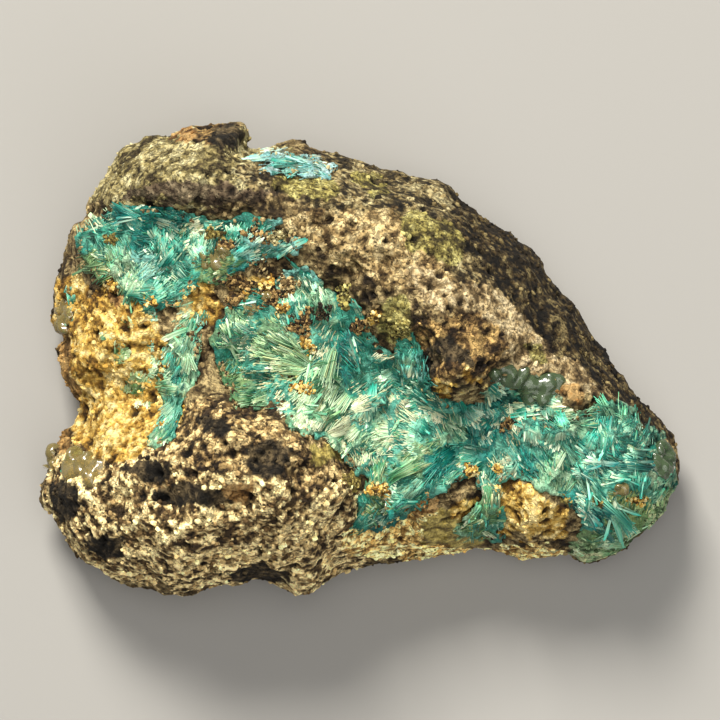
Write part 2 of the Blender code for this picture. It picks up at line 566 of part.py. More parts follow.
def joined_with(crust, build, name):
    """Unites a crust with the crystals in a bmesh."""
    bmesh.ops.recalc_face_normals(build, faces=build.faces)
    mesh = bpy.data.meshes.new(name)
    build.to_mesh(mesh)
    build.free()
    helper = bpy.data.objects.new(name, mesh)
    bpy.context.scene.collection.objects.link(helper)
    helper.hide_render = True
    helper.display_type = "WIRE"
    union = crust.modifiers.new("crystals", "BOOLEAN")
    union.operation = "UNION"
    union.solver = "EXACT"
    union.use_self = True
    union.object = helper


def fitted_lath(start, ahead, reach, width, tilt, relief, border):
    """A lath with its foot in its crust and the rest of it over the crust, or None."""
    ends = [start, start + ahead * reach]
    route = start + ahead * reach * np.linspace(0, 1, LATH_TESTS)[:, None]
    if not inside(route, border).all() or distance_to(route, border).min() < width * LATH_EDGE:
        return None
    ground = [relief.top.at(place) for place in ends]
    for lift in LATH_LIFTS:
        foot = ground[0] - LATH_SINK + lift
        for boost in LATH_BOOSTS:
            tip = max(ground[1] + LATH_CLEAR + boost, foot + LATH_RISE * reach)
            lath = Lath(Vector((*ends[0], foot)), Vector((*ends[1], tip)), width, LATH_THICK,
                        tilt)
            if lath.clears(relief.under):
                return lath
    return None


def lay_sprays(name, crust, relief, border):
    """Lays each spray's laths on its crust, each as long as its place allows."""
    draw = random.Random(LATH_SEED)
    build = bmesh.new()
    for x, y, heading, spread, length, count in SPRAYS[name]:
        for number in range(count):
            turn = math.radians(heading + spread * ((number + 0.5) / count * 2 - 1)
                                + draw.uniform(-LATH_TURN, LATH_TURN))
            ahead = np.array([math.cos(turn), math.sin(turn)])
            start = placed([x, y]) + ahead * draw.uniform(*LATH_STARTS) * length
            reach = length * draw.uniform(*LATH_REACHES)
            tilt = Vector([draw.uniform(-LATH_TILT, LATH_TILT) for _ in range(2)] + [1])
            width = LATH_WIDTH * draw.uniform(*LATH_WIDTHS)
            for cut in LATH_CUTS:
                lath = fitted_lath(start, ahead, reach * cut, width, tilt, relief, border)
                if lath:
                    lath.add_to(build)
                    break
    joined_with(crust, build, name + "_laths")


def stand_crystals(name, crust, relief, border):
    """Stands short flat crystals on a cluster, leaning out from it every way."""
    draw = random.Random(CRYSTAL_SEED)
    build = bmesh.new()
    for place in scattered(border, CRYSTAL_SPACING, CRYSTAL_EDGE, CRYSTAL_SEED):
        lean = Vector([draw.uniform(-CRYSTAL_LEAN, CRYSTAL_LEAN) for _ in range(3)])
        side = Vector([draw.uniform(-1, 1) for _ in range(3)])
        width = CRYSTAL_WIDTH * draw.uniform(*CRYSTAL_WIDTHS)
        long = CRYSTAL_LENGTH * draw.uniform(*CRYSTAL_LENGTHS)
        ground, out = relief.top.hit(place)[:2]
        ahead = (out + lean + Vector((0, 0, CRYSTAL_UP))).normalized()
        for sink in CRYSTAL_SINKS:
            foot = ground - out * sink
            crystal = Lath(foot, foot + ahead * (long + sink), width, CRYSTAL_THICK, side)
            if crystal.clears(relief.under):
                crystal.add_to(build)
                break
    joined_with(crust, build, name + "_crystals")


def main():
    clear_scene()
    finishes = {name: material(name) for name in COLOURS}
    corners = placed(OUTLINE)
    relief = Relief(corners)
    for name, border in relief.borders.items():
        crust = relief.crust(name, finishes[name.split("_")[0]])
        grow = lay_sprays if name in CRUSTS else stand_crystals
        grow(name, crust, relief, border)
    matrix(relief, corners, finishes["limonite_matrix"])


main()
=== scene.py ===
import math

import bpy
import numpy as np
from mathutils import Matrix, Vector, noise
from mathutils.bvhtree import BVHTree


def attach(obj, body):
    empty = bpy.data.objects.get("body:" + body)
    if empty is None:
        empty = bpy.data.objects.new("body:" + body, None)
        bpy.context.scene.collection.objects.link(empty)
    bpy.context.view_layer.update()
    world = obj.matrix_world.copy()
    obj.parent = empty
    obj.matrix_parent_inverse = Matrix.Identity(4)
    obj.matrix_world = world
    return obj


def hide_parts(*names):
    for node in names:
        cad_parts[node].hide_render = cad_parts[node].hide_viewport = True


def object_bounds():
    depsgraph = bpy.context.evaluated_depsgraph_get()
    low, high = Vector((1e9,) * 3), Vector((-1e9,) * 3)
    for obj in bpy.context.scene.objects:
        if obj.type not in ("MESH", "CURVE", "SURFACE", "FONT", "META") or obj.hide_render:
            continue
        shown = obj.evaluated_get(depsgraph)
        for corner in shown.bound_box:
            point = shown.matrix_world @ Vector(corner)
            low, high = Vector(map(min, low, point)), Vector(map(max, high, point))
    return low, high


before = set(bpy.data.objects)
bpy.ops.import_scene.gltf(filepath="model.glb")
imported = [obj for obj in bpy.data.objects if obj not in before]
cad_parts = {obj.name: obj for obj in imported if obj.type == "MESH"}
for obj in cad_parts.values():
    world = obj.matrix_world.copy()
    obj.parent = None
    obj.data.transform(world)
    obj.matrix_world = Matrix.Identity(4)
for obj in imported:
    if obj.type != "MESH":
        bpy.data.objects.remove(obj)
cadBox = [list(corner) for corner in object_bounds()]
boxLow, boxHigh = np.array(cadBox[0]), np.array(cadBox[1])
print("frame loaded,", len(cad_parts), "nodes")

mm = 0.001
rimHeight = 5 * mm  # what lies lower is on the flanks or past the outline
chance = np.random.default_rng(7)
noise.seed_set(7)  # noise_vector goes by the clock otherwise
photo = {
    "pixel": 0.155 * mm,  # size of one of the photograph's pixels on the specimen
    "middle": (360, 360),  # the pixel over the survey's zero
    "shift": (0.15 * mm, -0.05 * mm),  # from the survey's zero to the middle of the outline
}


def onRock(px, py):  # a place on the face, read off the photograph, in metres
    return np.stack([
        (np.asarray(px, float) - photo["middle"][0]) * photo["pixel"] + photo["shift"][0],
        (photo["middle"][1] - np.asarray(py, float)) * photo["pixel"] + photo["shift"][1],
    ], axis=-1)


def scattered(count):  # places thrown at random over the whole box
    return boxLow[:2] + (boxHigh - boxLow)[:2] * chance.random((count, 2))


def heighted(places, high):  # places on the face with a height added to each
    return np.concatenate([places, high[:, None]], axis=1)


def mode(name):
    bpy.ops.object.mode_set(mode=name)


def selecting(what):  # point, edge or face
    bpy.context.tool_settings.mesh_select_mode = [what == each for each in ("point", "edge", "face")]


def selectOnly(piece):
    bpy.ops.object.select_all(action="DESELECT")
    piece.select_set(True)
    bpy.context.view_layer.objects.active = piece


def mergedCopy(node, name):  # a copy of a CAD node's mesh with its loose triangles merged
    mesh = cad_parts[node].data.copy()
    mesh.name = name
    mesh.materials.clear()
    piece = bpy.data.objects.new(name, mesh)
    bpy.context.scene.collection.objects.link(piece)
    selectOnly(piece)
    mode("EDIT")
    bpy.ops.mesh.select_all(action="SELECT")
    bpy.ops.mesh.remove_doubles(threshold=0.002 * mm)
    mode("OBJECT")
    return piece


def applied(piece, kind, **settings):
    modifier = piece.modifiers.new(kind.lower(), kind)
    for key, value in settings.items():
        setattr(modifier, key, value)
    selectOnly(piece)
    bpy.ops.object.modifier_apply(modifier=modifier.name)


def pointsOf(piece, what="co"):
    rows = piece.data.vertices if what == "co" else piece.data.vertex_normals
    got = np.empty(len(rows) * 3, np.float32)
    rows.foreach_get("co" if what == "co" else "vector", got)
    return got.reshape(-1, 3).astype(float)


def setPoints(piece, points):
    piece.data.vertices.foreach_set("co", points.astype(np.float32).ravel())
    piece.data.update()


def paint(piece, name, colours):  # one colour for each point of the mesh
    layer = piece.data.color_attributes.new(name=name, type="FLOAT_COLOR", domain="POINT")
    rgba = np.concatenate([colours, np.ones((len(colours), 1))], axis=1)
    layer.data.foreach_set("color", rgba.astype(np.float32).ravel())


def measure(piece, name, values):  # one number for each point of the mesh
    layer = piece.data.attributes.new(name=name, type="FLOAT", domain="POINT")
    layer.data.foreach_set("value", np.asarray(values, np.float32))


def srgb(*rows):  # colours as seen on a screen, 0 to 255, made linear
    share = np.array(rows, float) / 255
    return np.where(share <= 0.04045, share / 12.92, ((share + 0.055) / 1.055) ** 2.4)


def softNoise(points, size, turn):  # smooth noise from -1 to 1, size in mm
    scaled = points / (size * mm) + turn * 7.3
    return np.array([noise.noise(Vector(p)) for p in scaled])


def vectorNoise(points, size, stretch=1.0):  # three numbers of smooth noise for each point
    return np.array([noise.noise_vector(Vector(p) / (size * mm) * stretch)[:] for p in points])


def layered(field, layers, points):  # strength, size in mm and turn of each layer
    return sum(strength * field(points, size, turn) for strength, size, turn in layers)


def crumbCells(points, size, turn):  # nearness to the two nearest crumbs, and a number for each crumb
    scaled = points / (size * mm) + turn * 3.1
    first, second, sites = [], [], []
    for p in scaled:
        gaps, near = noise.voronoi(Vector(p))
        first.append(gaps[0])
        second.append(gaps[1])
        sites.append(near[0][:])
    lots = np.sin(np.array(sites) @ np.array([12.9898, 78.233, 37.719])) * 43758.5453
    return np.array(first), np.array(second), lots - np.floor(lots)


def ridges(points, size, turn):  # winding ridges and hollows from 0 to 1, as in a porous rock
    bent = points + vectorNoise(points, size, 0.6) * size * 0.5 * mm
    return np.clip(1 - np.abs(softNoise(bent, size, turn)) * 2.6, 0, 1)


def ranked(values):  # each value's place in the order, from 0 to 1
    order = np.empty(len(values))
    order[np.argsort(values)] = np.linspace(0, 1, len(values), endpoint=False)
    return order


def smoothStep(low, high, value):
    share = np.clip((value - low) / (high - low), 0, 1)
    return share * share * (3 - 2 * share)


# Stone. Each kind of ground has its places on the face and its own colours.
# A place is an oval: middle x, y and half width and height in pixels of the photograph, then turn.
ground = {
    "lumpTop": {
        "places": [(226, 436, 62, 36, 8), (300, 455, 50, 26, 30)],
        "colours": srgb((36, 27, 18), (84, 66, 40), (142, 118, 76), (196, 172, 122)),
        "shares": (0.27, 0.27, 0.26, 0.2),
        "crumb": 0.7, "pits": 0.7, "bright": 1.62, "specks": 1.0, "mottle": 0.9,
    },
    "crumbs": {
        "places": [(200, 500, 160, 92, 0), (300, 540, 75, 62, 0), (95, 520, 55, 62, 0)],
        "colours": srgb((46, 35, 22), (92, 72, 44), (158, 134, 90), (212, 190, 136), (230, 210, 156)),
        "shares": (0.21, 0.19, 0.2, 0.24, 0.16),
        "crumb": 0.75, "pits": 0.7, "bright": 1.76, "specks": 1.0, "mottle": 0.95,
    },
    "ochre": {
        "places": [
            (112, 362, 56, 72, 0), (152, 402, 34, 40, 0), (118, 428, 44, 30, 0), (290, 370, 17, 18, 0),
            (303, 390, 12, 10, 0), (378, 488, 15, 12, 0), (466, 510, 17, 14, 0), (524, 512, 46, 27, 25),
            (200, 306, 20, 26, 0), (419, 373, 6, 12, 0), (430, 386, 11, 5, -30), (447, 390, 16, 4, 0),
            (470, 377, 14, 6, 40), (72, 330, 20, 60, 0), (250, 292, 22, 12, 20),
        ],
        "colours": srgb((84, 60, 26), (158, 118, 48), (206, 166, 78), (228, 194, 110), (240, 218, 152)),
        "shares": (0.12, 0.2, 0.3, 0.25, 0.13),
        "crumb": 0.9, "pits": 1.0, "bright": 1.0, "specks": 0.6,
    },
    "rind": {
        "places": [(440, 215, 135, 46, 30), (360, 190, 90, 30, 8), (310, 182, 70, 22, 4)],
        "colours": srgb((42, 36, 26), (82, 70, 46), (134, 116, 76), (180, 160, 112), (208, 194, 146)),
        "shares": (0.22, 0.24, 0.24, 0.2, 0.1),
        "crumb": 0.45, "pits": 0.4, "bright": 0.82, "specks": 0.95, "mottle": 1.0,
    },
    "darkRind": {
        "places": [(560, 300, 130, 42, 46), (500, 240, 60, 30, 38), (640, 390, 60, 26, 52)],
        "colours": srgb((30, 24, 15), (58, 46, 28), (98, 79, 47), (150, 127, 80), (200, 178, 122)),
        "shares": (0.28, 0.26, 0.22, 0.15, 0.09),
        "crumb": 0.45, "pits": 0.5, "bright": 0.42, "specks": 1.0, "mottle": 1.3,
    },
    "paleRind": {  # weathered rock between the dark rind and the hollow
        "places": [(500, 330, 60, 24, 45), (570, 372, 30, 12, 40), (430, 290, 30, 16, 30)],
        "colours": srgb((86, 70, 46), (152, 128, 88), (200, 176, 130), (218, 198, 156)),
        "shares": (0.2, 0.26, 0.32, 0.22),
        "crumb": 0.5, "pits": 0.6, "bright": 0.95, "specks": 0.8,
    },
    "porous": {
        "places": [(388, 252, 66, 38, 20), (318, 228, 34, 20, 0)],
        "colours": srgb((76, 58, 34), (146, 122, 80), (196, 170, 118), (220, 198, 148)),
        "shares": (0.2, 0.26, 0.34, 0.2),
        "crumb": 0.6, "pits": 1.0, "bright": 1.03, "specks": 0.9,
    },
    "shoulder": {
        "places": [(185, 165, 115, 44, 0), (120, 185, 46, 26, 20)],
        "colours": srgb((66, 56, 36), (116, 104, 66), (158, 144, 94), (186, 172, 122), (206, 196, 150)),
        "shares": (0.18, 0.24, 0.26, 0.2, 0.12),
        "crumb": 0.55, "pits": 0.6, "bright": 0.97, "specks": 0.95,
    },
    "streak": {
        "places": [(182, 194, 62, 9, -4), (240, 200, 40, 7, 0)],
        "colours": srgb((70, 56, 42), (112, 96, 74), (146, 130, 102)),
        "shares": (0.4, 0.4, 0.2),
        "crumb": 0.4, "pits": 0.3, "bright": 1.0, "specks": 0.9,
    },
    "brow": {
        "places": [
            (458, 348, 46, 26, 10), (420, 335, 20, 16, 0), (218, 134, 24, 12, 0), (446, 372, 16, 12, 0),
            (470, 330, 30, 14, 20),
        ],
        "colours": srgb((34, 25, 16), (72, 54, 32), (128, 102, 62), (176, 146, 92)),
        "shares": (0.28, 0.28, 0.26, 0.18),
        "crumb": 0.7, "pits": 1.0, "bright": 1.4, "specks": 0.9,
    },
    "lichen": {
        "places": [
            (395, 322, 14, 22, 0), (306, 188, 34, 14, 5), (432, 238, 34, 20, 30), (372, 186, 20, 9, 20),
            (532, 352, 15, 7, 20),
        ],
        "colours": srgb((66, 58, 34), (126, 114, 62), (172, 160, 90), (200, 190, 122)),
        "shares": (0.24, 0.28, 0.3, 0.18),
        "crumb": 0.4, "pits": 0.5, "bright": 0.95, "specks": 0.9,
    },
    "olive": {
        "places": [
            (330, 452, 24, 10, 0), (440, 530, 46, 18, 5), (250, 310, 14, 10, 0), (575, 488, 18, 12, 0),
        ],
        "colours": srgb((76, 64, 32), (122, 108, 54), (158, 142, 80)),
        "shares": (0.3, 0.36, 0.34),
        "crumb": 0.25, "pits": 0.3, "bright": 1.9, "specks": 0.6, "mottle": 0.5,
    },
    "creamPaintedLight": {  # crumbly pale rock along the lower margin, its colours lightened far past the others as painted light on this downward-facing slope
        "places": [
            (392, 536, 34, 20, 8), (370, 540, 26, 20, 0), (440, 554, 46, 10, 4), (520, 554, 44, 9, 0),
            (418, 512, 18, 12, 0),
        ],
        "colours": srgb((96, 72, 38), (172, 138, 78), (216, 188, 120), (238, 218, 160)),
        "shares": (0.18, 0.24, 0.32, 0.26),
        "crumb": 0.6, "pits": 0.8, "bright": 2.1, "specks": 1.0, "mottle": 0.9,
    },
    "shade": {
        "places": [
            (196, 496, 46, 12, 5), (270, 458, 22, 20, 0), (150, 470, 24, 10, 0), (214, 424, 16, 12, 30),
            (110, 545, 20, 10, 0), (260, 575, 30, 10, 0), (64, 500, 14, 20, 0), (228, 137, 17, 12, 0),
            (442, 357, 28, 20, 12),
        ],
        "colours": srgb((26, 22, 16), (52, 44, 32), (96, 82, 58)),
        "shares": (0.45, 0.35, 0.2),
        "crumb": 0.6, "pits": 0.6, "bright": 1.1, "specks": 0.8,
    },
    "rust": {
        "places": [
            (240, 492, 12, 11, 0), (420, 505, 16, 12, 0), (120, 300, 12, 8, 0), (568, 391, 19, 9, 25),
            (186, 134, 9, 7, 0),
        ],
        "colours": srgb((100, 70, 36), (160, 118, 66), (198, 162, 106)),
        "shares": (0.3, 0.4, 0.3),
        "crumb": 0.6, "pits": 0.6, "bright": 0.9, "specks": 0.6,
    },
    "tan": {
        "places": [(62, 352, 9, 34, 0), (62, 440, 12, 14, 0), (70, 400, 10, 26, 0)],
        "colours": srgb((100, 74, 38), (170, 130, 74), (208, 170, 108)),
        "shares": (0.3, 0.4, 0.3),
        "crumb": 0.7, "pits": 0.8, "bright": 0.95, "specks": 0.7,
    },
    "mintCrust": {
        "places": [(642, 520, 46, 42, 0), (604, 548, 34, 18, 0), (470, 532, 16, 8, 0)],
        "above": 7,
        "colours": srgb((70, 92, 58), (112, 146, 104), (160, 190, 142), (202, 208, 160)),
        "shares": (0.25, 0.27, 0.28, 0.2),
        "crumb": 0.8, "pits": 0.7, "bright": 1.0, "specks": 0.8,
    },
    "tealCrust": {
        "places": [
            (652, 460, 24, 34, -20), (622, 420, 24, 18, 50), (522, 402, 44, 9, 8), (402, 356, 9, 18, 0),
        ],
        "above": 7,
        "colours": srgb((22, 66, 58), (52, 116, 98), (104, 158, 132), (160, 184, 150)),
        "shares": (0.3, 0.28, 0.27, 0.15),
        "crumb": 0.6, "pits": 0.4, "bright": 1.0, "specks": 0.7,
    },
    "plain": {  # what no place above covers: broken rock
        "places": [],
        "colours": srgb((46, 36, 24), (88, 72, 46), (136, 116, 78), (178, 158, 112)),
        "shares": (0.24, 0.3, 0.28, 0.18),
        "crumb": 0.7, "pits": 0.5, "bright": 1.0, "specks": 0.8,
    },
}
kinds = list(ground)
stoneShape = {
    "voxel": 0.43,  # mm
    "lumps": ((0.55, 4.6, 1), (0.38, 2.3, 2), (0.16, 1.0, 3)),  # height and size in mm, and turn of the noise
    "crumbSize": 1.55,  # mm
    "crumbHigh": 0.46,  # mm
    "crumbShare": 0.45,  # how much of that height single crumbs have, beside the ridges
    "seamWide": 0.35,  # of the seams between crumbs, as a share of a crumb
    "ridges": ((0.6, 2.1, 2), (0.4, 1.05, 6)),  # strength, size in mm and turn
    "pitSize": 2.3,  # mm
    "pitDeep": 0.75,  # mm
    "pitShare": 0.42,  # how many cells hold a pit, where the ground has most
    "pitRim": (0.42, 0.2),  # where the wall of a pit begins and ends, as a share of its cell
    "pitRagged": 0.12,
    "flatBack": (0.4, 3),  # mm over the floor, between which it turns from flat to rough
    "backHigh": 5.5,  # mm, under which it is thinned
    "backDetail": 0.16,  # share of the triangles kept there
    "borders": ((5, 1.3), (1.6, 0.9)),  # how kinds of ground wander into each other: size and reach in mm
    "patches": ((0.36, 6, 8), (0.5, 2.6, 11), (0.5, 1.1, 12), (0.4, 0.6, 13)),  # of colour, as the ridges
    "speckSize": 0.8,  # mm
    "usualMottle": 0.3,
    "hollowShade": 0.25,  # painted shade: brightness in the deepest hollows
    "palest": 0.95,  # no colour is lighter
    "paint": 0.77,  # all its colours are taken down by this much, for the light is strong
}


def kindAt(points):  # the kind of ground at each point, broken up along its borders
    wobble = sum(vectorNoise(points, size)[:, :2] * reach * mm for size, reach in stoneShape["borders"])
    flat = points[:, :2] + wobble
    best = np.full(len(points), np.inf)
    found = np.full(len(points), kinds.index("plain"))
    for number, kind in enumerate(kinds):
        for x, y, wide, high, turn in ground[kind]["places"]:
            away = (flat - onRock(x, y)) / photo["pixel"]
            angle = math.radians(-turn)
            along = away[:, 0] * math.cos(angle) + away[:, 1] * math.sin(angle)
            across = away[:, 1] * math.cos(angle) - away[:, 0] * math.sin(angle)
            gap = (along / wide) ** 2 + (across / high) ** 2
            size = wide * high / 20000  # a small place wins over a large one
            nearer = (gap < 1) & (size < best) & (points[:, 2] > ground[kind].get("above", 0) * mm)
            found = np.where(nearer, number, found)
            best = np.where(nearer, size, best)
    return found


def valueFor(found, key, usual=0):
    return np.array([ground[kind].get(key, usual) for kind in kinds])[found]


def stoneColours(found, level, light):  # painted shade in the hollows and painted light on what stands up, over each ground's own colours
    colours = np.zeros((len(found), 3))
    for number, kind in enumerate(kinds):
        chosen = np.flatnonzero(found == number)
        shares = np.array(ground[kind]["shares"]) / sum(ground[kind]["shares"])
        middles = np.cumsum(shares) - shares / 2
        place = ranked(level[chosen])
        for channel in range(3):
            colours[chosen, channel] = np.interp(place, middles, ground[kind]["colours"][:, channel])
    dark = stoneShape["hollowShade"]
    gain = stoneShape["paint"] * valueFor(found, "bright") * (dark + (1 - dark) * light)
    return np.clip(colours * gain[:, None], 0, stoneShape["palest"])


def buildStone():
    look = stoneShape
    stone = mergedCopy("limonite_matrix", "limoniteStone")
    applied(stone, "SUBSURF", levels=1, render_levels=1)
    applied(stone, "REMESH", mode="VOXEL", voxel_size=look["voxel"] * mm, use_smooth_shade=True)
    points, out = pointsOf(stone), pointsOf(stone, "normal")
    found = kindAt(points)
    crumb, pits = valueFor(found, "crumb"), valueFor(found, "pits")
    rise = layered(softNoise, look["lumps"], points)
    first, second, lots = crumbCells(points, look["crumbSize"], 1)
    seam = np.clip((second - first) / look["seamWide"], 0, 1)  # 0 in the seams between crumbs
    crumbs = (np.sqrt(seam) - 0.6) * (0.4 + 0.9 * lots)
    wormy = layered(ridges, look["ridges"], points)
    rise += look["crumbHigh"] * crumb * (look["crumbShare"] * crumbs + (wormy - 0.5))
    pitFirst, _, pitLots = crumbCells(points, look["pitSize"], 5)
    wall = smoothStep(*look["pitRim"], pitFirst + look["pitRagged"] * softNoise(points, 0.7, 9))
    pit = (pitLots < look["pitShare"] * pits) * wall
    rise -= look["pitDeep"] * pit
    start, end = look["flatBack"]
    rough = smoothStep(start * mm, end * mm, points[:, 2])
    setPoints(stone, np.clip(points + out * (rise * rough * mm)[:, None], boxLow, boxHigh))
    # painted light and shade: lighter on the ridges, darker in the pits
    light = np.clip(0.8 + 0.35 * (wormy - 0.4) * crumb - 0.8 * pit, 0, 1)
    _, _, specks = crumbCells(points, look["speckSize"], 3)
    mottle = valueFor(found, "mottle", look["usualMottle"])  # change from one small crumb to the next
    patches = layered(softNoise, look["patches"], points)
    # ridges and crumbs take the lighter colours and pits the darker: partly painted light and shade, partly
    # the rock's own mottling
    level = 0.7 * wormy + 0.12 * crumbs + mottle * specks + 0.12 * lots + patches - 0.8 * pit
    paint(stone, "stoneTone", stoneColours(found, level, light))
    measure(stone, "stoneSheen", (found == kinds.index("olive")) * 0.5)  # the olive ground is waxy
    measure(stone, "stoneSpecks", valueFor(found, "specks"))
    thinBack(stone)
    setPoints(stone, np.clip(pointsOf(stone), boxLow, boxHigh))
    return stone


def thinBack(stone):  # fewer triangles underneath, where the rock is plain
    centres = np.empty(len(stone.data.polygons) * 3, np.float32)
    stone.data.polygons.foreach_get("center", centres)
    under = centres.reshape(-1, 3)[:, 2] < stoneShape["backHigh"] * mm
    selectOnly(stone)
    mode("EDIT")
    bpy.ops.mesh.select_all(action="DESELECT")
    mode("OBJECT")
    stone.data.polygons.foreach_set("select", under)
    mode("EDIT")
    selecting("face")
    bpy.ops.mesh.decimate(ratio=stoneShape["backDetail"])
    mode("OBJECT")


crustShape = {
    "voxel": 0.44,  # mm
    "lumps": ((0.42, 2.6, 20), (0.3, 1.1, 21)),  # height and size in mm, and turn of the noise
    "edge": 1.2,  # mm that the border wanders
    "edgeNoise": ((1, 2.2, 31), (0.5, 0.9, 33)),
    "inset": 0.15,  # share of that by which the border lies further in
    "wander": (2.2, 2.4),  # size and reach in mm of the borders between tones
    "shareNoise": ((0.5, 1.3, 41), (0.4, 4.5, 44)),  # between a tone's root and its tip
    "share": 0.36,
    # painted shade: the mat under the fibres is darkened by this much
    "bright": 0.56,
}


def keepLargest(piece):  # loose specks that a remesh leaves beside a thin edge go
    count = len(piece.data.vertices)
    ends = np.empty(len(piece.data.edges) * 2, np.int32)
    piece.data.edges.foreach_get("vertices", ends)
    first, second = ends.reshape(-1, 2).T
    label = np.arange(count)
    while True:
        lower = label.copy()
        np.minimum.at(lower, first, label[second])
        np.minimum.at(lower, second, label[first])
        lower = lower[lower]
        if (lower == label).all():
            break
        label = lower
    largest = np.bincount(label).argmax()
    selectOnly(piece)
    mode("EDIT")
    selecting("point")
    bpy.ops.mesh.select_all(action="DESELECT")
    mode("OBJECT")
    piece.data.vertices.foreach_set("select", label != largest)
    mode("EDIT")
    bpy.ops.mesh.delete(type="VERT")
    mode("OBJECT")


def buildCrust(node, name):  # the mat under the fibres
    look = crustShape
    crust = mergedCopy(node, name)
    applied(crust, "REMESH", mode="VOXEL", voxel_size=look["voxel"] * mm, use_smooth_shade=True)
    keepLargest(crust)
    points, out = pointsOf(crust), pointsOf(crust, "normal")
    rise = layered(softNoise, look["lumps"], points)
    sideways = np.hypot(out[:, 0], out[:, 1])
    rise += sideways * look["edge"] * (layered(softNoise, look["edgeNoise"], points) - look["inset"])
    setPoints(crust, np.clip(points + out * (rise * mm)[:, None], boxLow, boxHigh))
    size, reach = look["wander"]
    _, tone = nearestFan(points[:, :2] + vectorNoise(points, size)[:, :2] * reach * mm)
    tone = np.where(tone == toneNames.index("pale"), toneNames.index("turquoise"), tone)
    share = np.clip(look["share"] + layered(softNoise, look["shareNoise"], points), 0, 1)[:, None]
    first, last = toneEnds()
    # painted shade: the mat's colours are taken down as it lies under the fibres
    paint(crust, "crustTone", held(look["bright"] * (first[tone] * (1 - share) + last[tone] * share)))
    return crust


palestFibre = 0.92  # brightness of the palest tone where fibres shine most
fullTone = 0.8  # and of the strongest colour that keeps its own hue


def held(colours):  # the brighter a colour, the more it turns towards the palest tone
    strongest = colours.max(axis=-1, keepdims=True)
    share = np.clip((strongest - 0.5) * 0.75, 0, 0.7)
    pale = tones["pale"][1] * palestFibre
    return (1 - share) * colours / np.maximum(strongest / fullTone, 1) + share * pale


def toneEnds():  # every tone's colour at the root and at the tip
    return tuple(np.array([pair[end] for pair in tones.values()]) for end in (0, 1))


def nearestFan(spots):  # heading and tone of the fan that is nearest to each place
    rows = [row for group in fans.values() for row in group]
    roots = onRock([row[0] for row in rows], [row[1] for row in rows])
    headings = np.radians([row[2] for row in rows])
    halves = np.array([row[4] for row in rows])[:, None] * 0.5 * photo["pixel"]
    middles = roots + np.stack([np.cos(headings), np.sin(headings)], 1) * halves
    nearest = np.argmin(np.linalg.norm(spots[:, None] - middles, axis=2), axis=1)
    return headings[nearest], np.array([toneNames.index(row[5]) for row in rows])[nearest]


def treeOf(piece):
    piece.data.calc_loop_triangles()
    corners = np.empty(len(piece.data.loop_triangles) * 3, np.int32)
    piece.data.loop_triangles.foreach_get("vertices", corners)
    return BVHTree.FromPolygons(pointsOf(piece).tolist(), corners.reshape(-1, 3).tolist())


class HeightMap:  # heights of the top of some pieces, looked up in a square grid
    def __init__(self, pieces, step=0.3 * mm):
        low = boxLow[:2]
        self.low, self.step = low, step
        self.size = np.ceil((boxHigh[:2] - low) / step).astype(int) + 1
        self.heights = np.full(self.size, -1.0)  # a metre down where there is nothing
        down = Vector((0, 0, -1))
        for tree in map(treeOf, pieces):
            for i in range(self.size[0]):
                for j in range(self.size[1]):
                    start = Vector((low[0] + i * step, low[1] + j * step, 0.2))
                    hit = tree.ray_cast(start, down)[0]
                    if hit:
                        self.heights[i, j] = max(self.heights[i, j], hit.z)

    def at(self, places):
        share = (places - self.low) / self.step
        cell = np.clip(np.floor(share).astype(int), 0, self.size - 2)
        part = np.clip(share - cell, 0, 1)
        i, j = cell[..., 0], cell[..., 1]
        u, v = part[..., 0], part[..., 1]
        h = self.heights
        return ((h[i, j] * (1 - u) + h[i + 1, j] * u) * (1 - v)
                + (h[i, j + 1] * (1 - u) + h[i + 1, j + 1] * u) * v)


# Moulds: one of each small shape, modelled once and then copied many times; a long one lies along +Z
def newMould(name, add, **settings):
    bpy.ops.object.select_all(action="DESELECT")
    add(**settings)
    mould = bpy.context.object
    mould.name = name
    return mould


def editTop(mould):  # begins editing with its upper faces chosen
    for face in mould.data.polygons:
        face.select = face.normal.z > 0.9
    mode("EDIT")
    selecting("face")


def needleMould():
    add = bpy.ops.mesh.primitive_cylinder_add
    mould = newMould("needleMould", add, vertices=3, radius=0.55, depth=0.6, location=(0, 0, 0.3))
    editTop(mould)
    bpy.ops.mesh.extrude_region_move(TRANSFORM_OT_translate={"value": (0, 0, 0.4)})
    bpy.ops.mesh.merge(type="CENTER")
    mode("OBJECT")
    return finishedMould(mould)


def wedged(mould, high, narrow):  # the top of a bar drawn in to a wedge
    editTop(mould)
    bpy.ops.transform.translate(value=(0, 0, -high))
    bpy.ops.mesh.extrude_region_move(TRANSFORM_OT_translate={"value": (0, 0, high)})
    bpy.ops.transform.resize(value=narrow)


def lathMould():
    mould = newMould("lathMould", bpy.ops.mesh.primitive_cube_add, size=1, location=(0, 0, 0.5))
    wedged(mould, 0.14, (0.45, 0.15, 1))
    mode("OBJECT")
    return finishedMould(mould)


def shakenMould(name, fineness, offset, seed):  # an uneven ball
    mould = newMould(name, bpy.ops.mesh.primitive_ico_sphere_add, subdivisions=fineness, radius=0.5,
                     location=(0, 0, 0))
    mode("EDIT")
    bpy.ops.mesh.select_all(action="SELECT")
    bpy.ops.transform.vertex_random(offset=offset, seed=seed)
    mode("OBJECT")
    return finishedMould(mould)


def crystalMould():  # a flat prism with a wedge end and small side faces
    mould = newMould("crystalMould", bpy.ops.mesh.primitive_cube_add, size=1, location=(0, 0, 0.5))
    wedged(mould, 0.26, (0.5, 0.12, 1))
    bpy.ops.mesh.select_all(action="DESELECT")
    mode("OBJECT")
    for edge in mould.data.edges:
        ends = [mould.data.vertices[i].co for i in edge.vertices]
        edge.select = abs(ends[0].z - ends[1].z) > 0.5
    mode("EDIT")
    selecting("edge")
    bpy.ops.mesh.bevel(offset=0.16, segments=1)
    mode("OBJECT")
    return finishedMould(mould)


def finishedMould(mould):  # its points and faces, for copying; the mould itself goes
    shape = (pointsOf(mould), [tuple(face.vertices) for face in mould.data.polygons])
    bpy.data.objects.remove(mould)
    return shape


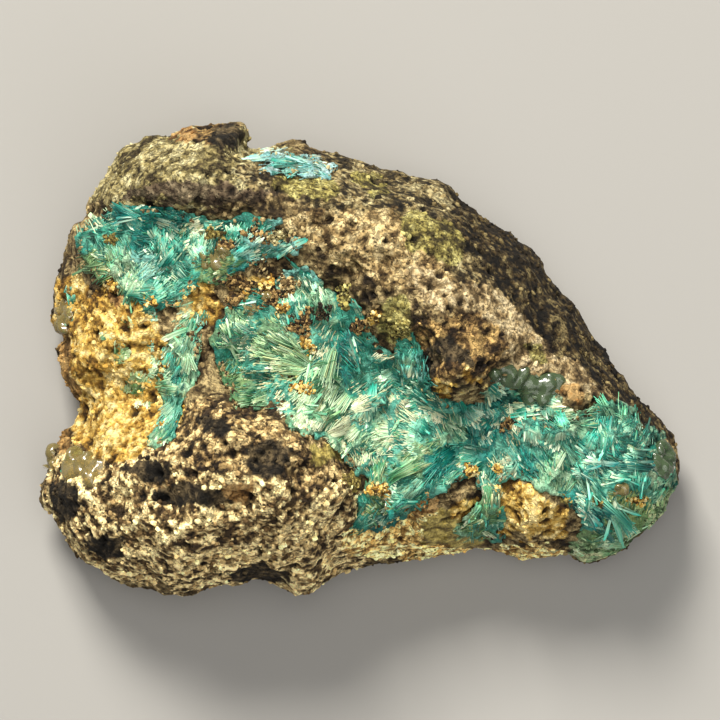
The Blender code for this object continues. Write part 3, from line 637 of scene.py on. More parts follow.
def joinedCopies(name, shape, feet, across, up, along, bow=None, flat=True):
    # One mesh of many placed copies of a mould; bow moves the middle of each copy aside
    points, faces = shape
    placed = (feet[:, None] + points[None, :, :1] * across[:, None]
              + points[None, :, 1:2] * up[:, None] + points[None, :, 2:] * along[:, None])
    if bow is not None:
        arch = 4 * points[None, :, 2:] * (1 - points[None, :, 2:])
        placed = placed + arch * bow[:, None]
    placed = np.clip(placed, boxLow, boxHigh)
    sizes = [len(face) for face in faces]
    corners = np.concatenate([np.array(face) for face in faces])
    count = len(feet)
    every = (corners[None] + np.arange(count)[:, None] * len(points)).ravel()
    mesh = bpy.data.meshes.new(name)
    mesh.vertices.add(count * len(points))
    mesh.vertices.foreach_set("co", placed.astype(np.float32).ravel())
    mesh.loops.add(len(every))
    mesh.loops.foreach_set("vertex_index", every.astype(np.int32))
    mesh.polygons.add(count * len(faces))
    starts = np.concatenate([[0], np.cumsum(np.tile(sizes, count))[:-1]])
    mesh.polygons.foreach_set("loop_start", starts.astype(np.int32))
    mesh.update(calc_edges=True)
    mesh.validate()
    if flat:
        mesh.shade_flat()
    piece = bpy.data.objects.new(name, mesh)
    bpy.context.scene.collection.objects.link(piece)
    return piece


def unit(rows):
    return rows / np.maximum(np.linalg.norm(rows, axis=-1, keepdims=True), 1e-12)


def turned(along, roll):  # two directions square to along, turned about it by roll
    aside = unit(np.cross(along, np.array([0.0, 0.0, 1.0]) + 0.001))
    over = np.cross(aside, along)
    c, s = np.cos(roll)[:, None], np.sin(roll)[:, None]
    return aside * c + over * s, over * c - aside * s


# Loose crumbs and grains that lie on the rock
grains = {
    "count": 6000,
    "size": (0.3, 1.1),  # mm
    "sizePower": 2.2,  # the higher, the fewer large ones
    "squash": (0.45, 0.8),  # least length of a side as a share of the size, and how much more it may be
    "clearOfCrust": 0.2,  # mm
    "leastFacing": 0.15,  # how far the ground has to face up
    "shade": (0.65, 0.6),  # least brightness beside the rock's, and how much more it may be
    "brightest": 0.9,
    "specks": 0.3,
    "perPiece": 5000,
}
grainShape = shakenMould("grainMould", 1, 0.16, 4)


def tumbled(size, squash):  # three sides for each grain, turned at random and of uneven length
    along = unit(chance.normal(size=(len(size), 3)))
    across, up = turned(along, chance.random(len(size)) * math.tau)
    lengths = squash[0] + squash[1] * chance.random((len(size), 3))
    return [side * size[:, None] * lengths[:, i:i + 1] for i, side in enumerate((across, up, along))]


def grainPiece(name, feet, sides, colours):
    piece = joinedCopies(name, grainShape, feet, *sides)
    count = len(piece.data.vertices)
    paint(piece, "stoneTone", np.repeat(np.clip(colours, 0, grains["brightest"]), len(grainShape[0]), axis=0))
    measure(piece, "stoneSheen", np.zeros(count))
    measure(piece, "stoneSpecks", np.full(count, grains["specks"]))
    return piece


def buildGrains(stone, crusts):
    mesh = stone.data
    mesh.calc_loop_triangles()
    count = len(mesh.loop_triangles)
    corners = np.empty(count * 3, np.int32)
    mesh.loop_triangles.foreach_get("vertices", corners)
    corners = corners.reshape(-1, 3)
    triangles = pointsOf(stone)[corners]
    middles = triangles.mean(1)
    face = np.cross(triangles[:, 1] - triangles[:, 0], triangles[:, 2] - triangles[:, 0])
    areas = np.linalg.norm(face, axis=1) / 2
    bare = crusts.at(middles[:, :2]) < middles[:, 2] - grains["clearOfCrust"] * mm
    facing = unit(face)[:, 2] > grains["leastFacing"]
    weight = areas * bare * (middles[:, 2] > rimHeight) * valueFor(kindAt(middles), "crumb") * facing
    picked = chance.choice(count, grains["count"], replace=False, p=weight / weight.sum())
    low, high = grains["size"]
    size = (low + (high - low) * chance.random(len(picked)) ** grains["sizePower"]) * mm
    painted = np.empty(len(mesh.vertices) * 4, np.float32)
    mesh.color_attributes["stoneTone"].data.foreach_get("color", painted)
    beneath = painted.reshape(-1, 4)[corners[picked, 0], :3]
    least, more = grains["shade"]
    colours = beneath * (least + more * chance.random((len(picked), 1)))
    sides = tumbled(size, grains["squash"])
    room = size[:, None] * 0.65
    feet = np.clip(middles[picked], boxLow + room, boxHigh - room)
    made = []
    for start in range(0, len(picked), grains["perPiece"]):
        part = slice(start, start + grains["perPiece"])
        name = f"limoniteGrains{len(made) + 1}"
        made.append(grainPiece(name, feet[part], [side[part] for side in sides], colours[part]))
    return made


# Bits of rock that stand up through the crusts: x, y and half width and height in pixels, then the kind
islands = {
    "places": [
        (290, 371, 8, 11, "ochre"), (303, 388, 10, 8, "ochre"), (308, 346, 7, 9, "ochre"),
        (285, 310, 8, 6, "ochre"), (300, 322, 17, 11, "brow"), (322, 312, 8, 10, "shade"),
        (378, 489, 10, 9, "ochre"), (352, 480, 8, 9, "olive"), (470, 470, 8, 6, "ochre"),
        (246, 286, 9, 7, "brow"), (228, 246, 10, 7, "brow"), (262, 268, 8, 6, "plain"),
        (150, 300, 9, 6, "ochre"), (112, 240, 8, 5, "olive"), (398, 330, 9, 12, "lichen"),
        (506, 424, 7, 6, "brow"), (496, 468, 6, 5, "ochre"), (596, 500, 8, 6, "olive"),
        (214, 236, 12, 7, "olive"), (258, 236, 12, 8, "brow"), (280, 238, 12, 7, "shoulder"),
        (236, 282, 11, 6, "brow"), (268, 284, 9, 6, "ochre"), (636, 500, 8, 6, "ochre"),
        (652, 520, 8, 7, "mintCrust"), (272, 298, 15, 13, "brow"), (290, 284, 10, 9, "porous"),
        (374, 318, 7, 7, "ochre"), (236, 300, 9, 7, "brow"), (344, 296, 8, 10, "lichen"),
        (360, 326, 7, 10, "brow"), (112, 286, 9, 6, "ochre"),
    ],
    "border": 1300,  # crumbs along the borders of the crusts
    "borderShade": 0.85,
    "borderClumps": (2.4, 0.12),  # size in mm, and the higher the second, the more gaps between the clumps
    "borderWide": 0.9,  # mm
    "grainsPer": 1.0,  # grains for each square pixel of the photograph
    "size": (0.28, 0.9),  # mm
    "sizePower": 1.8,
    "squash": (0.3, 1.1),
    "shade": (0.7, 0.5),
    "high": 0.75,  # mm that an island stands over its crust
}


def onCrust(crusts, places):  # the map lies below zero where there is no crust
    return crusts.at(places) > 1 * mm


def borderCrumbs(top, crusts):  # places near the borders of the crusts, and a colour of the rock there
    spots = scattered(islands["border"] * 60)
    outside = np.zeros(len(spots), bool)
    for turn in np.arange(6) * math.tau / 6:
        aside = np.array([math.cos(turn), math.sin(turn)]) * islands["borderWide"] * mm
        outside |= crusts.at(spots + aside) < 0.5 * mm
    spots = spots[outside & onCrust(crusts, spots) & (top.at(spots) > rimHeight)]
    feet = heighted(spots, top.at(spots) - 0.1 * mm)
    size, gaps = islands["borderClumps"]
    feet = feet[softNoise(feet, size, 60) > gaps][:islands["border"]]
    colours = np.zeros((len(feet), 3))
    for number, place in zip(kindAt(feet), range(len(feet))):
        tint = ground[kinds[number]]["colours"]
        colours[place] = tint[chance.integers(0, len(tint))]
    return feet, colours


def buildIslands(top, crusts):
    feet, colours = borderCrumbs(top, crusts)
    low, most = islands["size"]
    sizes = [(low + (most - low) * chance.random(len(feet))) * mm]
    feet, colours = [feet], [colours * stoneShape["paint"] * islands["borderShade"]]
    least, more = islands["shade"]
    for x, y, wide, high, kind in islands["places"]:
        count = int(math.pi * wide * high * islands["grainsPer"])
        reach = np.sqrt(chance.random(count))
        turn = chance.random(count) * math.tau
        ragged = 0.9 + 0.35 * np.sin(2 * turn + x) + 0.3 * np.sin(5 * turn + y)
        places = onRock(x + reach * np.cos(turn) * wide * ragged, y + reach * np.sin(turn) * high * ragged)
        inside = top.at(places) > rimHeight
        places, reach, count = places[inside], reach[inside], inside.sum()
        level = top.at(places) + islands["high"] * mm * (1 - reach**2) * chance.random(count)
        feet.append(heighted(places, level))
        sizes.append((low + (most - low) * chance.random(count) ** islands["sizePower"]) * mm)
        tint = ground[kind]["colours"]
        gain = stoneShape["paint"] * (least + more * chance.random((count, 1)))
        colours.append(tint[chance.integers(0, len(tint), count)] * gain)
    sides = tumbled(np.concatenate(sizes), islands["squash"])
    return grainPiece("limoniteIslands", np.concatenate(feet), sides, np.concatenate(colours))


# Aurichalcite. Each fan: root x, y in pixels of the photograph, heading and half spread in degrees
# (0 to the right, 90 up the picture), length in pixels, tone, and how thickly it is laid.
fans = {
    "aurichalciteUpperPatch": [
        (112, 212, -18, 16, 70, "deep", 1), (150, 216, -30, 22, 48, "deep", 1),
        (184, 234, 20, 22, 32, "pale", 1.2), (130, 284, 30, 16, 62, "blue", 1),
        (131, 291, -20, 18, 50, "teal", 1), (84, 270, 20, 40, 40, "green", 0.8),
        (94, 213, -45, 8, 22, "pale", 1), (226, 267, 45, 15, 66, "blue", 1),
        (226, 267, 0, 15, 52, "deep", 1), (278, 256, 30, 10, 38, "blue", 1),
        (291, 262, -50, 14, 64, "teal", 1), (165, 262, 80, 55, 42, "teal", 1),
        (205, 262, 100, 40, 42, "turquoise", 1), (238, 250, 70, 30, 34, "teal", 1),
        (90, 232, 10, 35, 42, "teal", 1), (120, 262, 130, 40, 40, "turquoise", 0.9),
        (110, 250, -60, 40, 40, "mint", 0.6), (190, 285, 160, 40, 46, "teal", 0.9),
        (240, 268, 190, 25, 44, "green", 0.7), (160, 232, -70, 40, 44, "turquoise", 0.8),
        (300, 246, 200, 25, 42, "blue", 0.8), (128, 300, 60, 40, 34, "mint", 0.7),
        (150, 300, 30, 30, 40, "turquoise", 0.8),
    ],
    "aurichalciteMiddle": [
        (323, 246, -65, 5, 44, "pale", 1), (333, 318, 115, 20, 58, "mint", 1),
        (340, 335, -65, 8, 44, "deep", 1), (319, 370, 150, 34, 106, "sage", 1.3),
        (260, 354, 145, 9, 32, "pale", 1), (275, 398, 200, 32, 50, "sage", 1),
        (287, 366, 185, 16, 30, "pale", 1), (335, 334, 240, 7, 38, "pale", 1),
        (350, 338, -60, 12, 36, "teal", 1), (367, 363, 35, 6, 42, "pale", 1),
        (380, 361, -50, 12, 26, "teal", 1), (347, 412, 32, 6, 68, "pale", 1),
        (262, 300, 150, 50, 42, "teal", 0.9), (300, 330, 110, 45, 48, "turquoise", 1),
        (232, 386, 200, 50, 26, "green", 0.8), (300, 420, 200, 34, 44, "sage", 1),
        (320, 300, 120, 30, 44, "blue", 0.8), (346, 306, 70, 26, 40, "teal", 0.8),
        (240, 350, 120, 50, 44, "sage", 1), (330, 420, 170, 25, 50, "mint", 1),
        (372, 392, 250, 24, 50, "turquoise", 1), (356, 300, 290, 18, 40, "teal", 0.8),
        (400, 372, 200, 24, 44, "turquoise", 1), (250, 330, 230, 50, 40, "teal", 0.9),
        (300, 300, 60, 40, 34, "mint", 0.7), (412, 352, 260, 20, 34, "blue", 0.9),
        (310, 400, 265, 30, 34, "mint", 0.9),
    ],
    "aurichalciteLowerFan": [
        (340, 345, 240, 13, 106, "mint", 1.5), (342, 372, 233, 15, 78, "mint", 1.4),
        (326, 392, 236, 14, 60, "pale", 1), (352, 388, 228, 12, 70, "mint", 1.2),
        (312, 402, 232, 22, 44, "mint", 1.1), (300, 398, 215, 24, 36, "pale", 0.7),
        (362, 420, 225, 16, 56, "mint", 1),
    ],
    "aurichalciteTrough": [
        (385, 388, -50, 9, 27, "pale", 1.2), (400, 395, -50, 9, 27, "pale", 1.2),
        (415, 402, -50, 9, 27, "pale", 1.2), (430, 410, -50, 9, 27, "pale", 1),
        (443, 418, -50, 9, 27, "mint", 1), (455, 390, -45, 18, 46, "deep", 1.2),
        (470, 398, -45, 18, 46, "deep", 1.2), (484, 402, -45, 18, 46, "deep", 1),
        (327, 434, 30, 9, 56, "pale", 1), (369, 436, -5, 6, 36, "pale", 1),
        (395, 475, 35, 9, 66, "sage", 1.2), (457, 446, 222, 9, 54, "deep", 1.2),
        (425, 475, 222, 11, 52, "turquoise", 1.2), (395, 503, 222, 12, 50, "deep", 1.2),
        (364, 446, -80, 11, 32, "pale", 1), (339, 444, -50, 6, 25, "pale", 1),
        (334, 501, -60, 11, 46, "green", 0.9), (440, 440, 150, 40, 50, "turquoise", 1),
        (400, 430, 200, 40, 44, "mint", 1.2), (380, 460, 250, 30, 44, "sage", 1),
        (500, 405, 240, 24, 44, "deep", 1), (480, 455, 190, 30, 44, "teal", 1),
        (430, 400, 160, 30, 40, "teal", 1), (350, 530, 40, 25, 44, "teal", 1),
        (520, 400, 200, 20, 40, "teal", 1), (460, 470, 230, 26, 40, "turquoise", 1),
        (382, 522, 120, 40, 34, "green", 0.9), (410, 500, 150, 40, 36, "teal", 1),
        (355, 480, 280, 30, 36, "teal", 0.8), (462, 405, -50, 24, 44, "deep", 1.5),
        (478, 420, -60, 30, 36, "deep", 1.3), (486, 490, 262, 16, 40, "sage", 1.3),
        (480, 508, 240, 22, 34, "mint", 1), (492, 520, 200, 24, 34, "green", 1),
        (458, 530, 20, 24, 34, "green", 1), (474, 540, 80, 24, 34, "turquoise", 0.8),
    ],
    "aurichalciteRightLobe": [
        (511, 406, -80, 12, 36, "pale", 1), (504, 441, -55, 14, 50, "deep", 1.2),
        (498, 445, -60, 7, 36, "pale", 1), (555, 432, -48, 10, 82, "turquoise", 1.2),
        (590, 390, -35, 15, 64, "matte", 1), (638, 467, 157, 24, 56, "deep", 1.2),
        (618, 520, 126, 10, 94, "turquoise", 1.3), (613, 519, 158, 20, 64, "deep", 1.2),
        (480, 476, -75, 10, 40, "pale", 1), (555, 451, -92, 6, 52, "mint", 1),
        (562, 535, -45, 28, 36, "green", 0.9), (537, 536, -30, 22, 20, "green", 0.9),
        (484, 535, -50, 12, 26, "pale", 0.9), (585, 500, 250, 34, 48, "turquoise", 1),
        (560, 415, 260, 30, 50, "turquoise", 1), (530, 420, 290, 30, 44, "turquoise", 1),
        (600, 420, 280, 34, 50, "teal", 1), (620, 400, 300, 34, 44, "matte", 1),
        (606, 536, 140, 16, 60, "deep", 1.3), (598, 528, 150, 12, 44, "turquoise", 1.2),
        (640, 452, 150, 16, 40, "teal", 1), (632, 478, 170, 14, 46, "turquoise", 1.1),
        (600, 452, 60, 20, 44, "turquoise", 1), (575, 470, 120, 20, 44, "turquoise", 1),
        (590, 545, 200, 40, 34, "turquoise", 1), (490, 500, 270, 26, 42, "turquoise", 0.9),
        (520, 460, 230, 40, 38, "turquoise", 0.9), (600, 470, 150, 30, 50, "deep", 1),
        (572, 560, 60, 40, 34, "green", 0.9),
    ],
    "aurichalciteBrow": [
        (541, 408, 0, 6, 44, "pale", 1.8), (511, 408, 5, 7, 30, "pale", 1.5),
        (511, 406, 215, 12, 36, "pale", 1), (486, 384, 330, 24, 34, "deep", 1),
        (500, 396, 350, 18, 44, "teal", 1), (540, 398, 320, 30, 36, "turquoise", 0.9),
        (552, 412, 355, 8, 36, "mint", 1), (520, 412, 10, 14, 40, "turquoise", 1),
        (480, 392, 300, 24, 34, "deep", 1), (404, 348, 262, 16, 34, "blue", 0.9),
        (402, 344, 285, 14, 36, "teal", 0.8),
    ],
    "aurichalciteRightTip": [
        (625, 512, 60, 60, 20, "lime", 1.1), (645, 516, 60, 60, 20, "lime", 1),
        (660, 505, 60, 60, 16, "lime", 0.8), (640, 530, 240, 45, 30, "mint", 0.9),
        (655, 470, 290, 34, 34, "matte", 1), (648, 432, 240, 44, 34, "teal", 1),
        (640, 490, 100, 40, 40, "turquoise", 0.9), (625, 545, 190, 34, 34, "mint", 0.9),
        (612, 556, 160, 34, 30, "green", 0.9), (636, 410, 250, 30, 34, "turquoise", 1),
        (662, 490, 250, 40, 26, "matte", 0.8), (650, 540, 130, 50, 20, "lime", 0.7),
        (590, 560, 150, 30, 24, "mint", 0.8), (668, 478, 220, 40, 26, "matte", 0.8),
    ],
    "aurichalciteLeftPlume": [
        (190, 330, 247, 13, 64, "turquoise", 1.3), (178, 400, 245, 11, 54, "turquoise", 1.2),
        (206, 300, 255, 10, 36, "turquoise", 1), (182, 370, 250, 16, 44, "turquoise", 1.2),
        (168, 425, 240, 16, 36, "mint", 1), (150, 390, 260, 20, 26, "green", 0.5),
        (196, 322, 238, 18, 60, "mint", 0.9), (188, 350, 262, 14, 62, "mint", 0.8),
        (200, 306, 225, 20, 44, "mint", 0.7), (158, 388, 20, 30, 30, "mint", 1.4),
        (136, 392, 60, 26, 30, "green", 1.6), (126, 376, 300, 26, 28, "green", 1.6),
        (134, 402, -25, 5, 16, "pale", 3), (118, 356, 20, 50, 22, "green", 1.2),
        (146, 372, 20, 40, 26, "mint", 1.2), (66, 462, 37, 3, 29, "mint", 4),
        (104, 342, 80, 40, 14, "mint", 0.9), (124, 324, 40, 40, 14, "green", 0.8),
        (150, 346, 10, 30, 12, "turquoise", 0.8), (146, 318, 30, 40, 18, "teal", 0.9),
        (66, 322, 70, 30, 22, "teal", 0.9), (70, 300, 110, 30, 20, "turquoise", 0.9),
    ],
    "aurichalciteTopEdge": [
        (252, 160, 14, 9, 56, "ice", 1.3), (292, 152, 5, 10, 46, "ice", 1.3),
        (270, 168, 18, 14, 44, "blue", 1), (300, 160, 340, 14, 36, "ice", 1),
        (246, 150, 10, 12, 50, "ice", 1),
    ],
}
fibre = {
    "cover": 4.9,  # how many fibres lie over each place of a fan
    "width": (0.085, 0.19),  # mm
    "lathWidth": (0.22, 0.42),
    "lathShare": 0.03,
    "footDeep": 0.12,  # mm
    "rimRoom": 1.3,  # mm that a tip keeps from the outline
    "lift": (0.15, 1.25),  # height of a tip over the ground, mm
    "bow": 0.045,  # how far a fibre swings aside in its middle, as a share of its length
    "arch": 0.03,  # the same upwards
    "steepest": 1.3,  # rise over length
    "tipRoom": 7,  # mm, the least height of the ground past a tip
    "perSheaf": 40,
    "lean": (0.58, 1.15),  # how sheaves spread over their fan, and the most, as shares of its half spread
    "begin": 0.55,  # share of the fan's length within which its sheaves begin
    "spotMost": 2.2,  # how far out in its sheaf a fibre may lie, beside sheafWide
    "shortest": 0.55,  # share of a sheaf's length
    "sheafWide": 0.34,  # mm
    "sheafOpen": 3.6,  # degrees that a sheaf opens by
    "streak": 0.17,  # how much fibres beside each other differ in brightness
    "sheafPaintedSheen": 0.31,  # the same for whole sheaves, as a painted sheen
    # share of single fibres painted pale as a highlight
    "paintedHighlightShare": 0.05,
    # share of sheaves painted pale as a highlight
    "paintedHighlightSheaves": 0.2,
    "olive": (0.7, 0.05, -0.25),  # how far the odd fibre turns from blue to olive
    "mat": 9000,  # short fibres laid between the fans
    "bright": 1.4,  # the tones are lightened by this much
    "gain": {
        "aurichalciteRightLobe": 1.3, "aurichalciteRightTip": 1.15,
        "aurichalciteUpperPatch": 0.93, "aurichalciteLeftPlume": 0.88,
    },
    "onBareRock": (
        "aurichalciteLeftPlume", "aurichalciteTopEdge", "aurichalciteRightTip",
        "aurichalciteLowerFan", "aurichalciteBrow",
    ),
    "paleOver": 0.4,  # pale fans lie over the others
    "lathLift": 0.4,  # laths lie lower than the fibres
    "lathMost": 4,  # mm, the longest
    "matLength": (1.6, 2.8),  # mm, the least and how much more it may be
    "matWidth": (0.1, 0.16),
    "matTeal": 0.35,  # share of the mat's fibres that are teal whatever fan is near
    "longest": 4.5,  # mm, past which a fibre doesn't reach over bare rock
    "perPiece": 18000,
}
tones = {  # colour at the root and at the tip
    "deep": srgb((4, 90, 86), (34, 176, 158)),
    "teal": srgb((8, 110, 98), (86, 198, 168)),
    "turquoise": srgb((24, 138, 122), (144, 224, 192)),
    "sage": srgb((52, 118, 84), (176, 216, 160)),
    "mint": srgb((92, 176, 136), (214, 242, 200)),
    "pale": srgb((180, 216, 170), (250, 250, 218)),
    "blue": srgb((46, 142, 132), (164, 222, 206)),
    "ice": srgb((110, 190, 190), (226, 246, 244)),
    "green": srgb((64, 118, 76), (158, 190, 124)),
    "matte": srgb((52, 132, 104), (134, 198, 158)),
    "lime": srgb((104, 150, 92), (206, 224, 142)),
}
toneNames = list(tones)


def fanFibres(rows):  # foot, heading, length, width and tone of every fibre of these fans
    feet, headings, lengths, widths, toneRows, flat = [], [], [], [], [], []
    sheen, pallor, lifts, bows = [], [], [], []
    for x, y, heading, spread, length, tone, thick in rows:
        reach = length * photo["pixel"]
        area = math.radians(2 * spread) * reach * reach / 2 + reach * 0.6 * mm
        width = np.mean(fibre["width"]) * mm
        count = int(fibre["cover"] * thick * area / (width * reach * 0.5))
        sheaves = max(3, int(count / fibre["perSheaf"]))
        usual, most = fibre["lean"]
        lean = spread * np.clip(chance.normal(0, usual, sheaves), -most, most)
        begin = chance.random(sheaves) ** 0.8 * fibre["begin"]
        sheaf = chance.integers(0, sheaves, count)
        most = fibre["spotMost"]
        spot = np.clip(chance.normal(0, 1, count), -most, most)  # place of a fibre across its sheaf
        turn = heading + lean[sheaf] + fibre["sheafOpen"] * spot
        least = fibre["shortest"]
        long = reach * (1 - begin[sheaf]) * (least + (1 - least) * chance.random(count))
        angle = np.radians(turn)
        ahead = np.stack([np.cos(angle), np.sin(angle)], 1)
        aside = np.stack([-ahead[:, 1], ahead[:, 0]], 1)
        start = reach * begin[sheaf] + chance.random(count) * 0.08 * reach
        off = fibre["sheafWide"] * mm * spot + chance.normal(0, 0.06 * mm, count)
        feet.append(onRock(x, y) + ahead * start[:, None] + aside * off[:, None])
        sweep = np.clip(chance.normal(0, fibre["bow"], sheaves), -0.09, 0.09)[sheaf]
        bows.append(aside * (sweep * long)[:, None])
        # painted sheen: each sheaf as a whole lighter or darker
        sheen.append(np.clip(1 + chance.normal(0, fibre["sheafPaintedSheen"], sheaves), 0.45, 1.5)[sheaf])
        # painted highlight: lit sheaves turn pale
        lit = chance.random(sheaves) < fibre["paintedHighlightSheaves"]
        pallor.append(np.where(lit, 0.85, chance.random(sheaves) ** 2.5 * 0.6)[sheaf])
        over = fibre["paleOver"] if tone == "pale" else 0
        lifts.append(np.clip(chance.random(sheaves)[sheaf] + chance.normal(0, 0.12, count) + over, 0, 1))
        headings.append(angle)
        isLath = chance.random(count) < fibre["lathShare"]
        lengths.append(np.where(isLath, np.minimum(long, fibre["lathMost"] * mm), long))
        low, high = fibre["width"]
        wide = low + (high - low) * chance.random(count)
        low, high = fibre["lathWidth"]
        widths.append(np.where(isLath, low + (high - low) * chance.random(count), wide) * mm)
        toneRows.append(np.full(count, toneNames.index(tone)))
        flat.append(isLath)
    parts = (feet, headings, lengths, widths, toneRows, flat, sheen, pallor, lifts, bows)
    return [np.concatenate(part) for part in parts]


def matFibres(crusts, count):  # short fibres all over the crusts, each turned as the nearest fan
    spots = scattered(count * 8)
    spots = spots[onCrust(crusts, spots)][:count]
    many = len(spots)
    headings, tone = nearestFan(spots)
    swirl = softNoise(heighted(spots, np.zeros(many)), 5, 50)
    angle = headings + 0.9 * swirl + chance.normal(0, 0.12, many)
    tone = np.where(chance.random(many) < fibre["matTeal"], toneNames.index("teal"), tone)
    least, more = fibre["matLength"]
    long = (least + more * chance.random(many)) * mm
    least, more = fibre["matWidth"]
    wide = (least + more * chance.random(many)) * mm
    # painted shade and sheen: the mat's fibres are darkened as they lie beneath the fans, and lighter or
    # darker in swirls
    sheen = np.clip(0.62 + 0.3 * swirl + chance.normal(0, 0.14, many), 0.3, 1.2)
    pallor = chance.random(many) ** 3 * 0.35
    lifts = chance.random(many) * 0.5
    bows = chance.normal(0, 0.1 * mm, (many, 2))
    return spots, angle, long, wide, tone, np.zeros(many, bool), sheen, pallor, lifts, bows


def layFibres(name, fibres, top, crusts, moulds):
    feet, angle, long, wide, tone, flat, sheen, pallor, level, bows = fibres
    ahead = np.stack([np.cos(angle), np.sin(angle)], 1)
    tips = feet + ahead * long[:, None]
    low, high = fibre["lift"]
    footHigh = top.at(feet) - fibre["footDeep"] * mm
    lift = (low + (high - low) * level**1.6) * np.where(flat, fibre["lathLift"], 1)
    tipHigh = top.at(tips) + lift * mm * np.clip(long / (6 * mm), 0.35, 1)
    middle = top.at((feet + tips) / 2)
    lowest = np.minimum(np.minimum(footHigh, tipHigh), middle)
    rise = np.maximum(middle + 0.02 * mm - (footHigh + tipHigh) / 2, 0)
    footHigh, tipHigh = footHigh + rise * 0.6, tipHigh + rise
    steep = np.abs(tipHigh - footHigh) / long
    room = ahead * fibre["rimRoom"] * mm
    nearest = np.minimum(top.at(tips + room), top.at(feet - room))
    kept = (nearest > fibre["tipRoom"] * mm) & (lowest > rimHeight) & (steep < fibre["steepest"])
    if name not in fibre["onBareRock"]:
        for share in (0.15, 0.55):
            kept &= onCrust(crusts, feet + (tips - feet) * share)
        kept &= (long < fibre["longest"] * mm) | onCrust(crusts, feet + (tips - feet) * 0.9)
    feet, tips, long, wide, tone, flat = (part[kept] for part in (feet, tips, long, wide, tone, flat))
    sheen, pallor = sheen[kept], pallor[kept]
    bows = heighted(bows[kept], long * fibre["arch"])
    feet = heighted(feet, footHigh[kept])
    along = heighted(tips, tipHigh[kept]) - feet
    roll = chance.normal(0, 0.55, len(feet))
    across, up = turned(unit(along), roll)
    roots, ends = toneEnds()
    gain = fibre["bright"] * fibre["gain"].get(name, 1)
    # brightness of each fibre: its sheaf's painted sheen and its own streak
    shade = (gain * sheen * np.clip(1 + chance.normal(0, fibre["streak"], len(feet)), 0.4, 1.45))[:, None]
    # painted highlight: the bright fibres turn pale; laths too, partly their paler colour, partly painted
    # highlight on their flat faces
    bright = chance.random(len(feet)) < fibre["paintedHighlightShare"]
    paleness = np.where(bright | flat, 0.6 + 0.4 * chance.random(len(feet)), pallor)[:, None]
    olive = (chance.random(len(feet)) ** 4)[:, None] * np.array(fibre["olive"])
    made = []
    for kind, shape, thick in (("Fibres", moulds[0], 0.5), ("Laths", moulds[1], 0.32)):
        chosen = np.flatnonzero(flat if kind == "Laths" else ~flat)
        for start in range(0, len(chosen), fibre["perPiece"]):
            part = chosen[start:start + fibre["perPiece"]]
            number = str(start // fibre["perPiece"] + 1) if len(chosen) > fibre["perPiece"] else ""
            piece = joinedCopies(name + kind + number, shape, feet[part], across[part] * wide[part, None],
                                 up[part] * (wide[part] * thick)[:, None], along[part], bows[part],
                                 flat=kind == "Laths")
            share = np.tile(np.clip(shape[0][:, 2], 0, 1), len(part)).reshape(len(part), -1, 1)
            first, last = roots[tone[part]][:, None], ends[tone[part]][:, None]
            pale = tones["pale"][1]
            colours = first + (last - first) * share**0.8
            colours = colours + (pale - colours) * paleness[part][:, None] * share
            colours = held(colours * shade[part][:, None] * (1 + olive[part])[:, None])
            paint(piece, "fibreTone", colours.reshape(-1, 3))
            made.append(piece)
    return made


# Hemimorphite: rounded glassy masses with small flat crystals on them. A place is an oval, in pixels.
clusters = {
    "hemimorphiteLeftEdge": {
        "node": "hemimorphite_left_edge",
        "places": [(50, 462, 6, 13), (78, 466, 14, 8), (94, 470, 8, 9)],
        "masses": 26, "mass": (2.0, 4.2), "crystals": 9, "finish": "olive",
    },
    "hemimorphiteLeftNodule": {
        "node": "hemimorphite_left_nodule",
        "places": [(64, 316, 7, 13)],
        "masses": 10, "mass": (1.8, 3.2), "crystals": 5, "finish": "olive",
    },
    "hemimorphiteBrow": {
        "node": "hemimorphite_brow",
        "places": [(508, 376, 20, 8), (536, 386, 19, 11)],
        "masses": 34, "mass": (1.9, 4.2), "crystals": 10, "finish": "grey",
    },
    "hemimorphiteRightTip": {
        "node": "hemimorphite_right_tip",
        "places": [(662, 462, 9, 15)],
        "masses": 14, "mass": (1.7, 3.2), "crystals": 6, "finish": "grey",
    },
    "hemimorphiteScattered": {
        "node": None,
        "places": [
            (212, 258, 20, 12), (390, 497, 9, 9), (620, 488, 9, 6), (253, 310, 7, 6), (272, 298, 8, 5),
        ],
        "masses": 30, "mass": (1.0, 2.6), "crystals": 16, "finish": "olive",
    },
}
crystalSizes = (0.7, 1.4)  # mm
massShape = {
    "voxel": 0.3,  # mm
    "lumps": ((0.45, 2.4, 70), (0.2, 0.9, 71)),  # height and size in mm, and turn of the noise
    "leastHigh": 4,  # mm over the floor
    "sizePower": 1.4,
    "lean": 0.55,
    "squash": (0.7, 0.5),
    "flatness": 0.6,  # height of a mass beside its width
    "deep": 0.12,  # how far a mass sinks in, as a share of its size
    "crystalDeep": 0.1,  # mm
    "crystal": (0.8, 0.42, 1.5),  # width, thickness and length of a crystal, as shares of its size
}


def inPlaces(places, count):
    weights = np.array([wide * high for _, _, wide, high in places], float)
    chosen = np.array(places)[chance.choice(len(places), count, p=weights / weights.sum())]
    reach, turn = np.sqrt(chance.random(count)), chance.random(count) * math.tau
    x, y, wide, high = chosen.T
    return onRock(x + reach * np.cos(turn) * wide, y + reach * np.sin(turn) * high)


